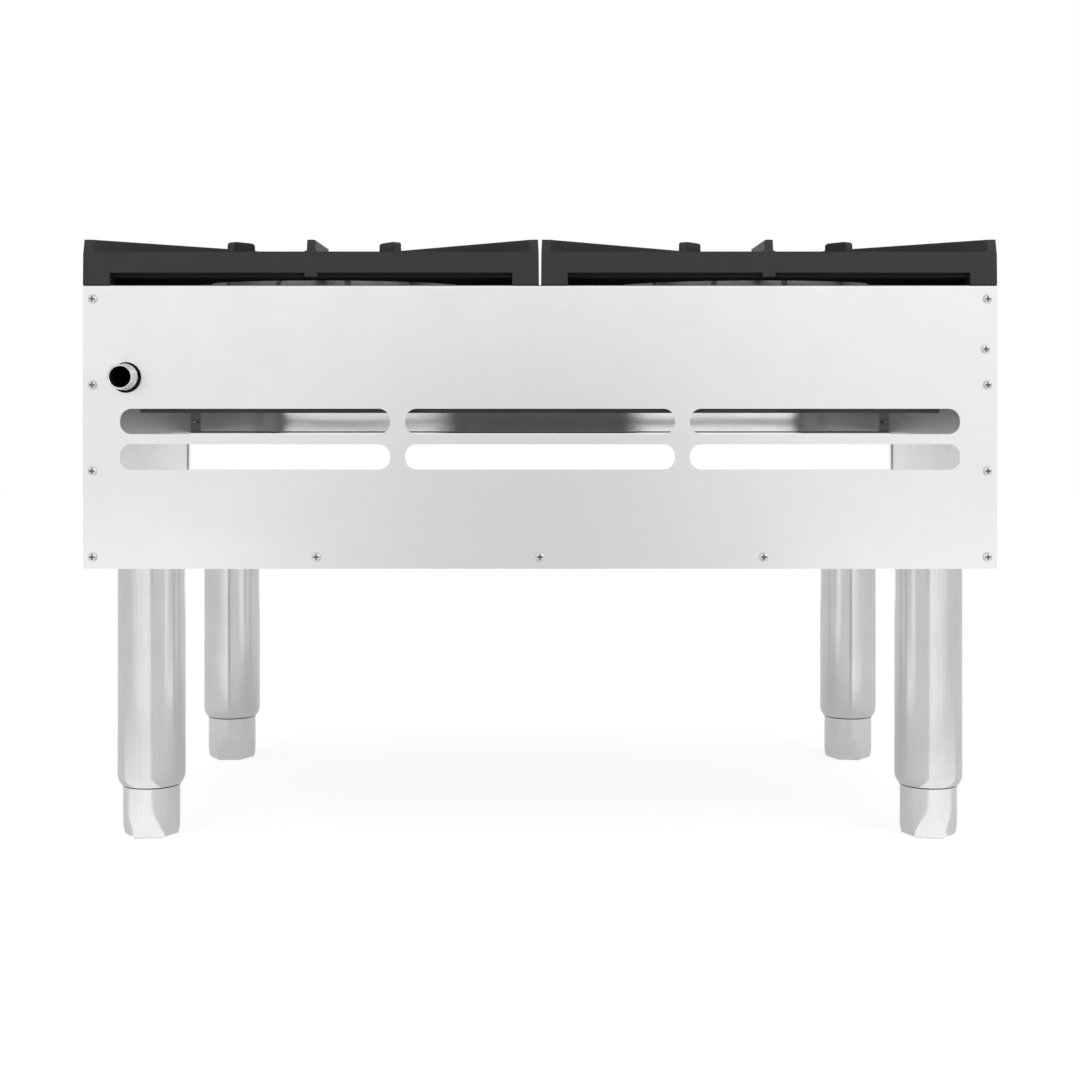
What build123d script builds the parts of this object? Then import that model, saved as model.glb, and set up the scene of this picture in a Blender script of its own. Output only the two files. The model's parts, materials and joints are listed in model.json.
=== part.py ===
from build123d import *
from math import cos, pi, radians, sin, sqrt, tan
import os

# Two-section stock pot range: a low sheet-steel body on four legs, two cast top
# grates, a ring burner pair under each grate, and a gas train along the front.
# Millimetres. +X is one end of the range, +Z is up and the front faces -Y.
# "Depth" is the distance from the rear face of the body towards the front.

# --- body -----------------------------------------------------------------
body_width = 914.4
body_height = 284.0
leg_height = 279.4
nose_projection = 38.1
sheet = 1.2
bend = 2.4
seam = 0.3
rear_flange = 28.0
side_rear_flange = 22.0
side_top_flange = 25.0
side_bottom_flange = 30.0
hem_width = 12.0
nose_corner_radius = 12.0
cut_margin = 20.0
front_ledge = 88.9
ledge_overlap = 27.2
ledge_lip = 16.0
panel_height = 106.4
panel_return = 21.0
rail_height = 30.0
tray_slot_height = 24.0
rail_return = 22.0
end_tab = 35.0

# --- rear panel cut-outs and screws -----------------------------------------
slot_side_margin = 37.2
slot_gap = 15.0
slot_height = 25.4
slot_corner = 11.5
slot_columns = 3
slot_top_row = 136.5
slot_pitch_z = 35.5
slot_rows = 2
screw_edge = 9.7
screw_top = 14.0
screw_base = 12.0
screw_rows = 4
spare_screw_drop = 64.0
spare_screw_shift = 2.0
screw_radius = 1.9
screw_hole = 2.1
screw_length = 6.5
screw_head_radius = 4.6
screw_head_height = 2.6
screw_crown = 0.92
screw_crown_edge = 0.55
screw_side_edge = 0.9

# --- legs and feet ----------------------------------------------------------
rear_leg_inset = 55.7
rear_leg_depth = 62.0
front_leg_inset = 71.2
front_leg_setback = 85.1
leg_radius = 34.5
leg_wall = 1.5
leg_cap = 3.0
leg_lip_rise = 12.0
lip_curve_out = 0.74
lip_curve_up = 0.46
leg_open_height = 51.5
foot_radius = 29.0
foot_clearance = 0.4
foot_height = 92.0
foot_base_flat = 23.5
foot_base_slope = 12.5
foot_base_round = 2.0
left_foot_turn = 2.0
right_foot_turn = -8.0
foot_stud_radius = 8.0
foot_stud_length = 50.0
foot_retract_room = 8.0
thread_clearance = 0.05
insert_height = 12.0
insert_gap = 0.1
leg_stud_radius = 8.0
leg_stud_length = 20.0
leg_stud_hole = 8.4
leg_plate_size = 90.0
leg_plate_thickness = 3.0
leg_nut_width = 24.0
leg_nut_height = 11.0

# --- base channels ----------------------------------------------------------
channel_leg_margin = 40.2
front_channel_leg_margin = 52.9
channel_height = 30.6
front_channel_height = 40.6
front_channel_return = 14.0

# --- drip tray --------------------------------------------------------------
tray_side_gap = 51.0
tray_rear_gap = 25.0
tray_height = 13.0
tray_sheet = 1.0
tray_flange = 20.0
tray_floor_gap = 2.1
tray_slot_gap = 1.6
tray_front_side_gap = 4.0
tray_lip_projection = 16.0
tray_lip_drop = 8.0
runner_sheet = 1.5
runner_overlap = 14.0
runner_height = 20.0
runner_front_gap = 6.0
runner_rear_gap = 2.0

# --- cast grates ------------------------------------------------------------
grate_gap = 2.0
grate_depth = 457.2
grate_height = 45.6
grate_crease = 32.6
grate_rail_bottom = 12.0
grate_rail_top = 33.6
grate_side_gap = 1.6
grate_rail_width = 16.0
grate_foot = 27.0
wall_draft = 0.5
upper_side_draft = 3.0
upper_end_draft = 8.0
crease_step = 0.8
inner_draft = 3.0
web_bottom = 8.0
web_thickness = 10.0
opening_radius = 172.0
opening_rim = 9.0
rim_top = 28.0
corner_rib_width = 12.0
corner_rib_reach = 151.0
finger_width = 9.5
finger_reach = 122.0
finger_tip_depth = 14.0
finger_draft = 1.0
finger_round = 1.2
finger_overhang = 20.0
lug_width = 9.5
lug_length = 38.0
lug_offset = 76.0
lug_depth = 40.0
lug_angle = 33.0
lug_nose = 9.0
finger_foot = 2.0

# --- burners ----------------------------------------------------------------
burner_top_gap = 12.6
burner_height = 28.0
outer_ring_out = 146.0
outer_ring_in = 118.0
middle_ring_out = 88.0
middle_ring_in = 62.0
hub_ring_out = 42.0
hub_ring_in = 18.0
port_ledge_width = 8.0
port_ledge_height = 10.0
port_width = 6.5
port_inset = 1.2
port_turn = 11.0
outer_ports = 12
middle_ports = 12
hub_ports = 6
ring_edge = 3.0
bridge_width = 18.0
bridge_count = 3
riser_radius = 15.0
burner_leg_radius = 8.0
outer_leg_spread = 60.0
middle_leg_spread = 30.0

# --- venturi mixers and air shutters -----------------------------------------
mixer_spacing = 96.0
mixer_drop = 58.4
mixer_tube_radius = 18.0
mixer_tube_bore = 14.5
mixer_throat_radius = 15.0
mixer_throat_bore = 11.5
mixer_bell_radius = 24.0
mixer_bell_bore = 21.0
mixer_face_radius = 26.0
mixer_face_thickness = 6.0
mixer_web = 4.0
mixer_bell_length = 46.0
mixer_diffuser_length = 84.0
mixer_heel = 12.6
shutter_sheet = 1.5
shutter_skirt = 6.0
shutter_wall = 1.4
shutter_running_gap = 0.06
shutter_face_gap = 0.3
window_inner = 12.5
window_outer = 20.0
window_sweep = 84.0
shutter_tab = 10.0

# --- burner supports --------------------------------------------------------
support_sheet = 1.5
support_margin = 14.0
rear_support_drop = 43.4
rear_support_height = 28.0
front_support_setback = 93.1
front_support_width = 35.0
front_support_height = 18.0
pipe_notch = 3.0
divider_width = 40.0
divider_height = 39.2

# --- gas train --------------------------------------------------------------
pipe_radius = 13.35
pipe_bore = 10.45
inlet_inset = 42.2
inlet_drop = 92.0
inlet_stub = 23.0
thread_length = 20.0
thread_radius = 13.1
inlet_hole = 15.4
inlet_hole_shift_x = -0.9
inlet_hole_shift_z = -0.5
manifold_setback = 16.0
fitting_radius = 18.5
fitting_band = 20.5
fitting_band_length = 8.0
fitting_reach = 24.0
pipe_engagement = 10.0
manifold_overhang = 67.6
cap_length = 20.0
eye_wall = 4.0
eye_width = 14.0
eye_inset = 20.0
eye_clearance = 0.3
eye_foot_height = 34.0
eye_foot_thickness = 3.0
valve_body_radius = 12.0
valve_front_reach = 22.0
valve_rear_reach = 18.0
valve_boss_radius = 6.5
valve_boss_hex = 18.0
valve_nose = 4.0
valve_shoulder = 10.0
valve_chamfer = 3.0
bonnet_width = 36.0
bonnet_height = 20.0
bonnet_thickness = 3.0
stem_radius = 4.0
stem_flat = 2.6
stem_length = 52.0
stem_socket = 26.0
hood_across = 15.0
hood_length = 18.0
hood_tip_length = 8.0
hood_tip_radius = 5.0
hood_orifice = 1.2
hood_hole_gap = 1.4
hood_entry = 2.0

# --- pilots -----------------------------------------------------------------
pilot_valve_across = 14.0
pilot_valve_front = 20.0
pilot_valve_rear = 12.0
pilot_boss_radius = 5.0
pilot_screw_radius = 3.0
pilot_screw_length = 5.0
pilot_tube_radius = 3.2
pilot_tube_bend = 16.0
pilot_tip_radius = 5.0
pilot_tip_height = 14.0
pilot_access_radius = 4.5
pilot_nut_across = 11.0
pilot_nut_length = 8.0

# --- knobs ------------------------------------------------------------------
knob_radius = 25.0
knob_grip_radius = 21.0
knob_skirt = 7.0
knob_length = 32.0
knob_face_gap = 3.8
knob_flutes = 12
knob_flute_radius = 4.0
knob_edge = 1.0
knob_taper = 2.0
knob_crown = 3.0
bezel_radius = 31.0
bezel_hole = 7.0
bezel_thickness = 1.5
bezel_step = 2.0
stem_panel_hole = 7.0

# --- derived places ---------------------------------------------------------
body_depth = grate_depth + front_ledge
overall_depth = inlet_stub + body_depth + nose_projection + knob_face_gap + knob_length
rear_y = overall_depth / 2 - inlet_stub
body_base = leg_height
body_top = leg_height + body_height
half_width = body_width / 2
inner_x = half_width - sheet
nose_front = body_depth + nose_projection
nose_inner = nose_front - sheet
panel_base = body_top - panel_height
nose_base = panel_base - tray_slot_height - rail_height
ledge_rear = grate_depth - ledge_overlap
slot_length = (body_width - 2 * slot_side_margin + slot_gap) / slot_columns - slot_gap
slot_pitch_x = slot_length + slot_gap
screw_pitch = (body_height - screw_top - screw_base) / (screw_rows - 1)
screw_bottom_pitch = (half_width - screw_edge) / 2
rear_leg_x = half_width - rear_leg_inset
front_leg_x = half_width - front_leg_inset
front_leg_depth = body_depth - front_leg_setback
rear_channel_end = rear_leg_depth + channel_leg_margin
front_channel_start = front_leg_depth - front_channel_leg_margin
tray_half_width = inner_x - tray_side_gap
section_x = (half_width + grate_gap / 2) / 2
grate_half_x = (half_width - grate_gap / 2) / 2
grate_half_y = grate_depth / 2
burner_depth = grate_half_y
burner_top = body_top + burner_top_gap
burner_base = burner_top - burner_height
mixer_z = body_top - mixer_drop
inlet_z = body_top - inlet_drop
manifold_depth = body_depth - manifold_setback
tray_base = nose_base + rail_height + tray_floor_gap
tray_ledge = tray_base + tray_height
front_support_top = inlet_z + pipe_radius + 2 * seam + support_sheet
rear_support_top = body_top - rear_support_drop
hood_end = manifold_depth - valve_rear_reach - hood_length - hood_tip_length
mixer_mouth = hood_end + hood_entry
front_support_depth = mixer_mouth - front_support_setback
outer_ring_mid = (outer_ring_in + outer_ring_out) / 2
middle_ring_mid = (middle_ring_in + middle_ring_out) / 2
inlet_x = half_width - inlet_inset
manifold_end_x = section_x + mixer_spacing / 2 + manifold_overhang
eye_x = manifold_end_x - eye_inset
valve_front = manifold_depth + valve_front_reach
knob_back = nose_front + knob_face_gap
stem_bore_radius = stem_radius + thread_clearance
foot_insert_z = foot_height + foot_retract_room
pilot_depth = burner_depth + (outer_ring_in + middle_ring_out) / 2
pilot_tube_start = manifold_depth - pilot_valve_rear - pilot_nut_length


# --- helpers ----------------------------------------------------------------
def y_at(depth):
    """Y of a place a given distance in front of the rear face."""
    return rear_y - depth


def block(x0, x1, d0, d1, z0, z1):
    """Box between two X, two depths and two heights."""
    place = Pos((x0 + x1) / 2, y_at((d0 + d1) / 2), (z0 + z1) / 2)
    return place * Box(abs(x1 - x0), abs(d1 - d0), abs(z1 - z0))


def rod_z(x, depth, radius, z0, z1):
    """Upright round bar."""
    return Pos(x, y_at(depth), (z0 + z1) / 2) * Cylinder(radius, z1 - z0)


def rod_y(x, z, radius, d0, d1):
    """Round bar that runs from front to rear."""
    return Pos(x, y_at((d0 + d1) / 2), z) * Rot(90, 0, 0) * Cylinder(radius, d1 - d0)


def rod_x(depth, z, radius, x0, x1):
    """Round bar that runs across the range."""
    return Pos((x0 + x1) / 2, y_at(depth), z) * Rot(0, 90, 0) * Cylinder(radius, x1 - x0)


def hex_y(x, z, across, d0, d1):
    """Hexagonal bar that runs from front to rear."""
    face = Plane(origin=(x, y_at(d0), z), x_dir=(1, 0, 0), z_dir=(0, -1, 0))
    return extrude(face * RegularPolygon(across / 2, 6, major_radius=False), amount=d1 - d0)


def hex_z(x, depth, across, z0, z1):
    """Upright hexagonal bar."""
    face = Pos(x, y_at(depth), z0) * RegularPolygon(across / 2, 6, major_radius=False)
    return extrude(face, amount=z1 - z0)


def turned_y(outline, x, z):
    """Body of revolution on a front-to-rear axis, from (radius, depth) points."""
    points = [(radius, y_at(depth)) for radius, depth in outline]
    face = make_face(Polyline(*points, close=True))
    return Pos(x, 0, z) * revolve(face, Axis.Y)


def folded_across(points, thickness, half_length, radius=bend):
    """Sheet folded along X: outer line of (depth, z) points, metal on its left."""
    view = Plane(origin=(0, rear_y, 0), x_dir=(0, -1, 0), z_dir=(-1, 0, 0))
    line = FilletPolyline(*points, radius=radius)
    outline = line.offset_2d(thickness, kind=Kind.ARC, side=Side.LEFT, closed=True)
    return extrude(view * make_face(outline), amount=half_length, both=True)


def folded_along(points, thickness, d0, d1, radius=bend):
    """Sheet folded along Y: outer line of (x, z) points, metal on its left."""
    view = Plane(origin=(0, y_at(d0), 0), x_dir=(1, 0, 0), z_dir=(0, -1, 0))
    line = FilletPolyline(*points, radius=radius)
    outline = line.offset_2d(thickness, kind=Kind.ARC, side=Side.LEFT, closed=True)
    return extrude(view * make_face(outline), amount=d1 - d0)


def other_end(shape):
    """The same piece for the opposite end of the range."""
    return mirror(shape, about=Plane.YZ)


def save(name, shape):
    """Writes one named piece."""
    shape.label = name
    export_step(shape, f"parts/{name}.step")


def sections():
    """X of the middle of each burner section."""
    return [section_x, -section_x]


def mixer_places():
    """X of every mixer, valve and knob: outer ring first in each section."""
    half = mixer_spacing / 2
    return [x + side * half for x in sections() for side in (1, -1)]


def leg_places():
    """X and depth of each leg: rear pair, then front pair."""
    rear = [(rear_leg_x, rear_leg_depth), (-rear_leg_x, rear_leg_depth)]
    front = [(front_leg_x, front_leg_depth), (-front_leg_x, front_leg_depth)]
    return rear + front


def rear_screw_places():
    """X and Z of the rear panel's screws."""
    edge_x = half_width - screw_edge
    rows = [body_top - screw_top - screw_pitch * row for row in range(screw_rows)]
    places = [(side * edge_x, z) for side in (1, -1) for z in rows]
    places += [(column * screw_bottom_pitch, rows[-1]) for column in (-1, 0, 1)]
    places.append((spare_screw_shift - edge_x, body_top - spare_screw_drop))
    return places


def side_screw_places():
    """Depth and Z of the screws in each side panel's nose."""
    depth = nose_inner - end_tab / 2
    rail_z = nose_base + rail_height / 2
    return [(depth, body_top - end_tab), (depth, panel_base + end_tab), (depth, rail_z)]


# --- sheet-metal body ---------------------------------------------------------
def make_rear_panel():
    """Rear panel with two rows of slots, a pipe hole and screw holes."""
    line = [(rear_flange, body_top), (0, body_top), (0, body_base)]
    panel = folded_across(line, sheet, half_width)
    for side in (1, -1):
        clear = block(side * inner_x, side * (half_width + 1), sheet, rear_flange + 1,
                      body_base - 1, body_top + 1)
        panel -= clear
    first_x = -slot_pitch_x * (slot_columns - 1) / 2
    face = Plane(origin=(0, rear_y + 1, 0), x_dir=(1, 0, 0), z_dir=(0, -1, 0))
    for row in range(slot_rows):
        z = body_top - slot_top_row - slot_pitch_z * row
        for column in range(slot_columns):
            outline = RectangleRounded(slot_length, slot_height, slot_corner)
            place = Pos(first_x + slot_pitch_x * column, z)
            panel -= extrude(face * place * outline, amount=3 * sheet)
    hole_x = inlet_x + inlet_hole_shift_x
    hole_z = inlet_z + inlet_hole_shift_z
    panel -= rod_y(hole_x, hole_z, inlet_hole, -1, 3 * sheet)
    for x, z in rear_screw_places():
        panel -= rod_y(x, z, screw_hole, -1, 3 * sheet)
    return panel


def make_side_panel():
    """Side panel at +X: one folded sheet with a nose, flanges and a hemmed edge."""
    line = [
        (inner_x + sheet - side_bottom_flange, body_base),
        (half_width, body_base),
        (half_width, body_top),
        (inner_x + sheet - side_top_flange, body_top),
    ]
    panel = folded_along(line, sheet, sheet, nose_inner)
    reach = inner_x - side_bottom_flange - 1
    top_from = body_top - 2 * bend
    panel -= block(reach, inner_x, 0, rear_flange + seam, top_from, body_top + 1)
    panel -= block(reach, inner_x, ledge_rear - seam, nose_front, top_from, body_top + 1)
    base_to = body_base + 2 * bend
    panel -= block(reach, inner_x, 0, rear_channel_end + seam, body_base - 1, base_to)
    panel -= block(reach, inner_x, front_channel_start - seam, nose_front, body_base - 1, base_to)
    view = Plane(origin=(half_width + 1, rear_y, 0), x_dir=(0, -1, 0), z_dir=(-1, 0, 0))
    cut_depth = nose_projection + cut_margin
    cut_height = nose_base - body_base + cut_margin
    corner = (body_depth + cut_depth / 2, nose_base - cut_height / 2)
    notch = Pos(*corner) * RectangleRounded(cut_depth, cut_height, nose_corner_radius)
    panel -= extrude(view * notch, amount=2 * side_bottom_flange)
    rear_tab = block(inner_x - side_rear_flange, inner_x, sheet, 2 * sheet,
                     body_base + bend + seam, body_top - bend - seam)
    hem_base = body_base + front_channel_height + seam
    hem = block(inner_x - sheet, inner_x, body_depth - hem_width, body_depth,
                hem_base, nose_base - nose_corner_radius)
    panel = panel + rear_tab + hem
    for x, z in sorted({(abs(x), z) for x, z in rear_screw_places()}):
        if x > inner_x - side_rear_flange:
            panel -= rod_y(x, z, screw_hole, -1, 4 * sheet)
    for depth, z in side_screw_places():
        panel -= rod_x(depth, z, screw_hole, inner_x - 1, half_width + 1)
    return panel


def drill_side_screws(piece):
    """Side screw holes through a piece's two end tabs."""
    for depth, z in side_screw_places():
        piece -= rod_x(depth, z, screw_hole, inner_x - 3 * sheet, inner_x + 1)
        piece -= rod_x(depth, z, screw_hole, -inner_x - 1, -inner_x + 3 * sheet)
    return piece


def trim_ends(piece):
    """Lets the front face cover the side panels and keeps the rest between them."""
    for side in (1, -1):
        piece -= block(side * inner_x, side * (half_width + 1), 0, nose_inner,
                       body_base, body_top + 1)
    return piece


def add_end_tabs(piece, z0, z1):
    """Welds a flat tab inside each end, against the side panels."""
    for side in (1, -1):
        piece += block(side * (inner_x - sheet), side * inner_x, nose_inner - end_tab,
                       nose_inner, z0, z1)
    return piece


def make_control_panel():
    """Folded front: ledge on top, knob face in front, a return below."""
    line = [
        (nose_front - panel_return, panel_base),
        (nose_front, panel_base),
        (nose_front, body_top),
        (ledge_rear, body_top),
        (ledge_rear, body_top - ledge_lip),
    ]
    panel = trim_ends(folded_across(line, sheet, half_width))
    panel = add_end_tabs(panel, panel_base + sheet, body_top - sheet)
    panel = drill_side_screws(panel)
    for x in mixer_places():
        panel -= rod_y(x, mixer_z, stem_panel_hole, nose_inner - 1, nose_front + 1)
    for x in sections():
        panel -= rod_y(x, mixer_z, pilot_access_radius, nose_inner - 1, nose_front + 1)
    return panel


def make_front_rail():
    """Folded lower rail that closes the nose under the drip tray."""
    line = [
        (nose_front - rail_return, nose_base),
        (nose_front, nose_base),
        (nose_front, nose_base + rail_height),
        (nose_front - rail_return, nose_base + rail_height),
    ]
    rail = trim_ends(folded_across(line, sheet, half_width))
    rail = add_end_tabs(rail, nose_base + sheet, nose_base + rail_height - sheet)
    return drill_side_screws(rail)


def make_center_divider():
    """Upside-down channel under the joint of the two grates."""
    half = divider_width / 2
    top = body_top - sheet
    base = top - divider_height
    line = [(half, base), (half, top), (-half, top), (-half, base)]
    return folded_along(line, sheet, bend, ledge_rear)


def drill_leg_holes(piece, places):
    """Stud holes for the legs."""
    for x, depth in places:
        piece -= rod_z(x, depth, leg_stud_hole, body_base - 1, body_base + 2 * bend)
    return piece


def make_rear_channel():
    """Rear base channel that carries the rear legs."""
    end = rear_channel_end
    top = body_base + channel_height
    line = [(sheet, top), (sheet, body_base), (end, body_base), (end, top)]
    channel = folded_across(line, sheet, inner_x)
    tab_edge = inner_x - side_rear_flange - seam
    for side in (1, -1):
        channel -= block(side * tab_edge, side * (inner_x + 1), 0, 2 * bend, body_base + bend, top + 1)
    for x, z in rear_screw_places():
        if abs(x) < tab_edge:
            channel -= rod_y(x, z, screw_hole, 0, 3 * sheet)
    return drill_leg_holes(channel, leg_places()[:2])


def make_front_channel():
    """Front base channel: carries the front legs and closes the body's front."""
    start = front_channel_start
    top = body_base + channel_height
    front_top = body_base + front_channel_height
    line = [
        (start, top),
        (start, body_base),
        (body_depth, body_base),
        (body_depth, front_top),
        (body_depth - front_channel_return, front_top),
    ]
    return drill_leg_holes(folded_across(line, sheet, inner_x), leg_places()[2:])


def make_support(depth, width, top, height):
    """Upside-down channel across the body that carries the burners."""
    line = [(depth + width, top - height), (depth + width, top), (depth, top), (depth, top - height)]
    return folded_across(line, support_sheet, inner_x)


def make_rear_support():
    """Rear burner support, under the rear legs of both rings."""
    start = ring_depth(outer_ring_mid, outer_leg_spread, False) - burner_leg_radius - support_margin
    end = ring_depth(middle_ring_mid, middle_leg_spread, False) + burner_leg_radius + bend
    return make_support(start, end - start, rear_support_top, rear_support_height)


def make_front_support():
    """Front burner support, notched round the gas inlet pipe."""
    support = make_support(front_support_depth, front_support_width,
                           front_support_top, front_support_height)
    reach = pipe_radius + pipe_notch
    notch = block(inlet_x - reach, inlet_x + reach, front_support_depth - 1,
                  front_support_depth + front_support_width + 1,
                  front_support_top - front_support_height - 1,
                  front_support_top - support_sheet)
    return support - notch


def make_tray_runner():
    """Angle on the +X side panel that the drip tray's flange slides on."""
    inner = tray_half_width + tray_flange - runner_overlap
    base = tray_ledge - runner_sheet
    line = [(inner, base), (inner_x, base), (inner_x, base + runner_height)]
    return folded_along(line, runner_sheet, rear_flange + runner_rear_gap,
                        nose_inner - end_tab - runner_front_gap)


def make_drip_tray():
    """Flanged drip tray with a front face and a pull lip."""
    edge = tray_half_width + tray_flange
    line = [
        (-edge, tray_ledge),
        (-tray_half_width, tray_ledge),
        (-tray_half_width, tray_base),
        (tray_half_width, tray_base),
        (tray_half_width, tray_ledge),
        (edge, tray_ledge),
    ]
    tray = folded_along(line, tray_sheet, tray_rear_gap, nose_inner)
    tray += block(-tray_half_width, tray_half_width, tray_rear_gap,
                  tray_rear_gap + tray_sheet, tray_base, tray_ledge + tray_sheet)
    low = nose_base + rail_height + tray_slot_gap
    high = panel_base - tray_slot_gap - sheet / 2
    front = [
        (nose_front, low),
        (nose_front, high),
        (nose_front + tray_lip_projection, high),
        (nose_front + tray_lip_projection, high - tray_lip_drop),
    ]
    return tray + folded_across(front, sheet, inner_x - tray_front_side_gap, sheet)


# --- cast grate ---------------------------------------------------------------
def drafted(outline, z, height, draft):
    """Plan outline raised (or lowered) from z, narrowing by the draft angle."""
    return extrude(Pos(0, 0, z) * outline, amount=height, taper=draft)


def narrowing(width, depth, z, height, width_draft, depth_draft):
    """Upright block whose four walls lean inwards by two draft angles."""
    lean_x = 2 * height * tan(radians(width_draft))
    lean_y = 2 * height * tan(radians(depth_draft))
    low = Pos(0, 0, z) * Rectangle(width, depth)
    high = Pos(0, 0, z + height) * Rectangle(width - lean_x, depth - lean_y)
    return loft([low, high])


def grate_envelope():
    """Outer walls of the casting, with a small step at the crease."""
    width = 2 * grate_half_x
    depth = 2 * grate_half_y
    lean = 2 * grate_crease * tan(radians(wall_draft))
    lower = narrowing(width, depth, 0, grate_crease, wall_draft, wall_draft)
    upper = narrowing(width - lean, depth - lean - 2 * crease_step, grate_crease,
                      grate_height - grate_crease, upper_side_draft, upper_end_draft)
    return lower + upper


def grate_frame():
    """Four rails with a foot under each corner and air gaps in front and behind."""
    plan = Rectangle(2 * grate_half_x, 2 * grate_half_y)
    inside = Rectangle(2 * (grate_half_x - grate_rail_width), 2 * (grate_half_y - grate_rail_width))
    height = grate_rail_top - grate_side_gap
    frame = drafted(plan, grate_side_gap, height, 0)
    frame -= drafted(inside, grate_side_gap, height, inner_draft)
    air_gap = Rectangle(2 * (grate_half_x - grate_foot), 2 * grate_half_y + 2)
    frame -= drafted(air_gap, 0, grate_rail_bottom, 0)
    foot_x = grate_half_x - grate_foot / 2
    foot_y = grate_half_y - grate_foot / 2
    foot = extrude(Rectangle(grate_foot, grate_foot), amount=web_bottom + web_thickness)
    for place in GridLocations(2 * foot_x, 2 * foot_y, 2, 2):
        frame += place * foot
    return frame


def grate_web():
    """Plate inside the rails with the round burner opening and its rim."""
    plate = Rectangle(2 * grate_half_x - grate_rail_width, 2 * grate_half_y - grate_rail_width)
    opening = Circle(opening_radius)
    web = drafted(plate - opening, web_bottom, web_thickness, 0)
    rim = Circle(opening_radius + opening_rim) - opening
    return web + drafted(rim, web_bottom, rim_top - web_bottom, 0)


def upright_bar(width, length):
    """Bar along Y with drafted sides, rounded ends and a softened top edge."""
    outline = RectangleRounded(width, length, width / 2 - seam)
    bar = drafted(outline, web_bottom, grate_height - web_bottom, finger_draft)
    return fillet(bar.faces().sort_by(Axis.Z)[-1].edges(), finger_round)


def grate_finger(width, start, length):
    """Upright bar along +Y from start, on a wider foot that blends with the web."""
    middle = Pos(0, start + length / 2, 0)
    foot = RectangleRounded(width + 2 * finger_foot, length + 2 * finger_foot, width / 2)
    height = grate_rail_top - web_bottom + finger_foot / 2
    return middle * upright_bar(width, length) + middle * drafted(foot, web_bottom, height, finger_draft)


def rising_underside(reach_start, reach_end):
    """Wedge that thins a finger towards its free end, inside the opening."""
    base = web_bottom - 1
    tip = grate_height - finger_tip_depth
    side = Polyline((reach_start, base), (reach_end, base), (reach_end, tip), close=True)
    return extrude(Plane.YZ * make_face(side), amount=corner_rib_width, both=True)


def grate_mid_finger(half_size):
    """Finger at the middle of one rail, on the +Y axis, pointing at the centre."""
    start = half_size - finger_reach
    finger = grate_finger(finger_width, start, finger_reach + finger_overhang)
    return finger - rising_underside(opening_radius + opening_rim, start - finger_foot - 1)


def grate_corner_rib():
    """Rib on the diagonal of the +X +Y corner, drawn along +Y before turning."""
    corner = sqrt(grate_half_x**2 + grate_half_y**2)
    reach = corner_rib_reach * sqrt(2)
    rib = grate_finger(corner_rib_width, corner - reach, reach + finger_overhang)
    return rib - rising_underside(opening_radius + opening_rim, corner - reach - finger_foot - 1)


def grate_lug(half_size, side):
    """Short slanted lug with round noses, between a finger and a corner rib."""
    height = 2 * (grate_height - web_bottom)
    view = Plane(origin=(0, 0, web_bottom), x_dir=(0, 1, 0), z_dir=(1, 0, 0))
    noses = extrude(view * RectangleRounded(lug_length, height, lug_nose), amount=lug_width, both=True)
    lug = upright_bar(lug_width, lug_length) & noses
    return Pos(side * lug_offset, half_size - lug_depth) * Rot(0, 0, -side * lug_angle) * lug


def make_grate():
    """One cast top grate, centred on the section with its feet at body_top."""
    fingers = []
    for turn in range(4):
        half_size = grate_half_y if turn % 2 == 0 else grate_half_x
        place = Rot(0, 0, 90 * turn)
        fingers.append(place * grate_mid_finger(half_size))
        fingers += [place * grate_lug(half_size, side) for side in (1, -1)]
        fingers.append(Rot(0, 0, 90 * turn + 45) * grate_corner_rib())
    grate = grate_frame() + grate_web()
    for finger in fingers:
        grate += finger
    return grate & grate_envelope()


# --- burners ------------------------------------------------------------------
def burner_ring(inner, outer, ports):
    """Cast ring with sloping port ledges and sawn ports, on its own centre."""
    low = burner_base
    top = burner_top
    ledge = top - port_ledge_height
    outline = [
        (inner, low + ring_edge),
        (inner + ring_edge, low),
        (outer - ring_edge, low),
        (outer, low + ring_edge),
        (outer, ledge),
        (outer - port_ledge_width, top),
        (inner + port_ledge_width, top),
        (inner, ledge),
    ]
    face = make_face(Plane.XZ * Polyline(*outline, close=True))
    ring = revolve(face, Axis.Z)
    cutter = Box(port_ledge_width, port_width, port_ledge_height)
    place = Pos(0, 0, top - port_ledge_height / 2 + port_inset)
    for spot in PolarLocations(outer - port_ledge_width / 2 + port_inset, ports, port_turn):
        ring -= place * spot * cutter
    return ring


def mixer_tube(x, end_depth):
    """Venturi mixer on a front-to-rear axis, open at its mouth, windowed face."""
    face_back = mixer_mouth - mixer_face_thickness
    throat = mixer_mouth - mixer_bell_length
    wide = mixer_mouth - mixer_diffuser_length
    body = [
        (0, end_depth - mixer_tube_radius / 2),
        (mixer_heel, end_depth - mixer_tube_radius / 2),
        (mixer_tube_radius, end_depth),
        (mixer_tube_radius, wide),
        (mixer_throat_radius, throat),
        (mixer_throat_radius, throat + mixer_face_thickness),
        (mixer_bell_radius, face_back),
        (mixer_face_radius, face_back),
        (mixer_face_radius, mixer_mouth),
        (0, mixer_mouth),
    ]
    bore = [
        (0, end_depth),
        (mixer_tube_bore, end_depth),
        (mixer_tube_bore, wide),
        (mixer_throat_bore, throat),
        (mixer_throat_bore, throat + mixer_face_thickness),
        (mixer_bell_bore, face_back),
        (mixer_bell_bore, mixer_mouth - mixer_web),
        (0, mixer_mouth - mixer_web),
    ]
    tube = turned_y(body, x, mixer_z) - turned_y(bore, x, mixer_z)
    pad_half = mixer_tube_radius / 2
    pad = block(x - pad_half, x + pad_half, front_support_depth,
                front_support_depth + front_support_width, front_support_top,
                mixer_z - mixer_tube_bore - sheet)
    face = window_plate(x, mixer_mouth - mixer_web - 1, mixer_mouth + 1)
    return tube + pad - face


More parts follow.
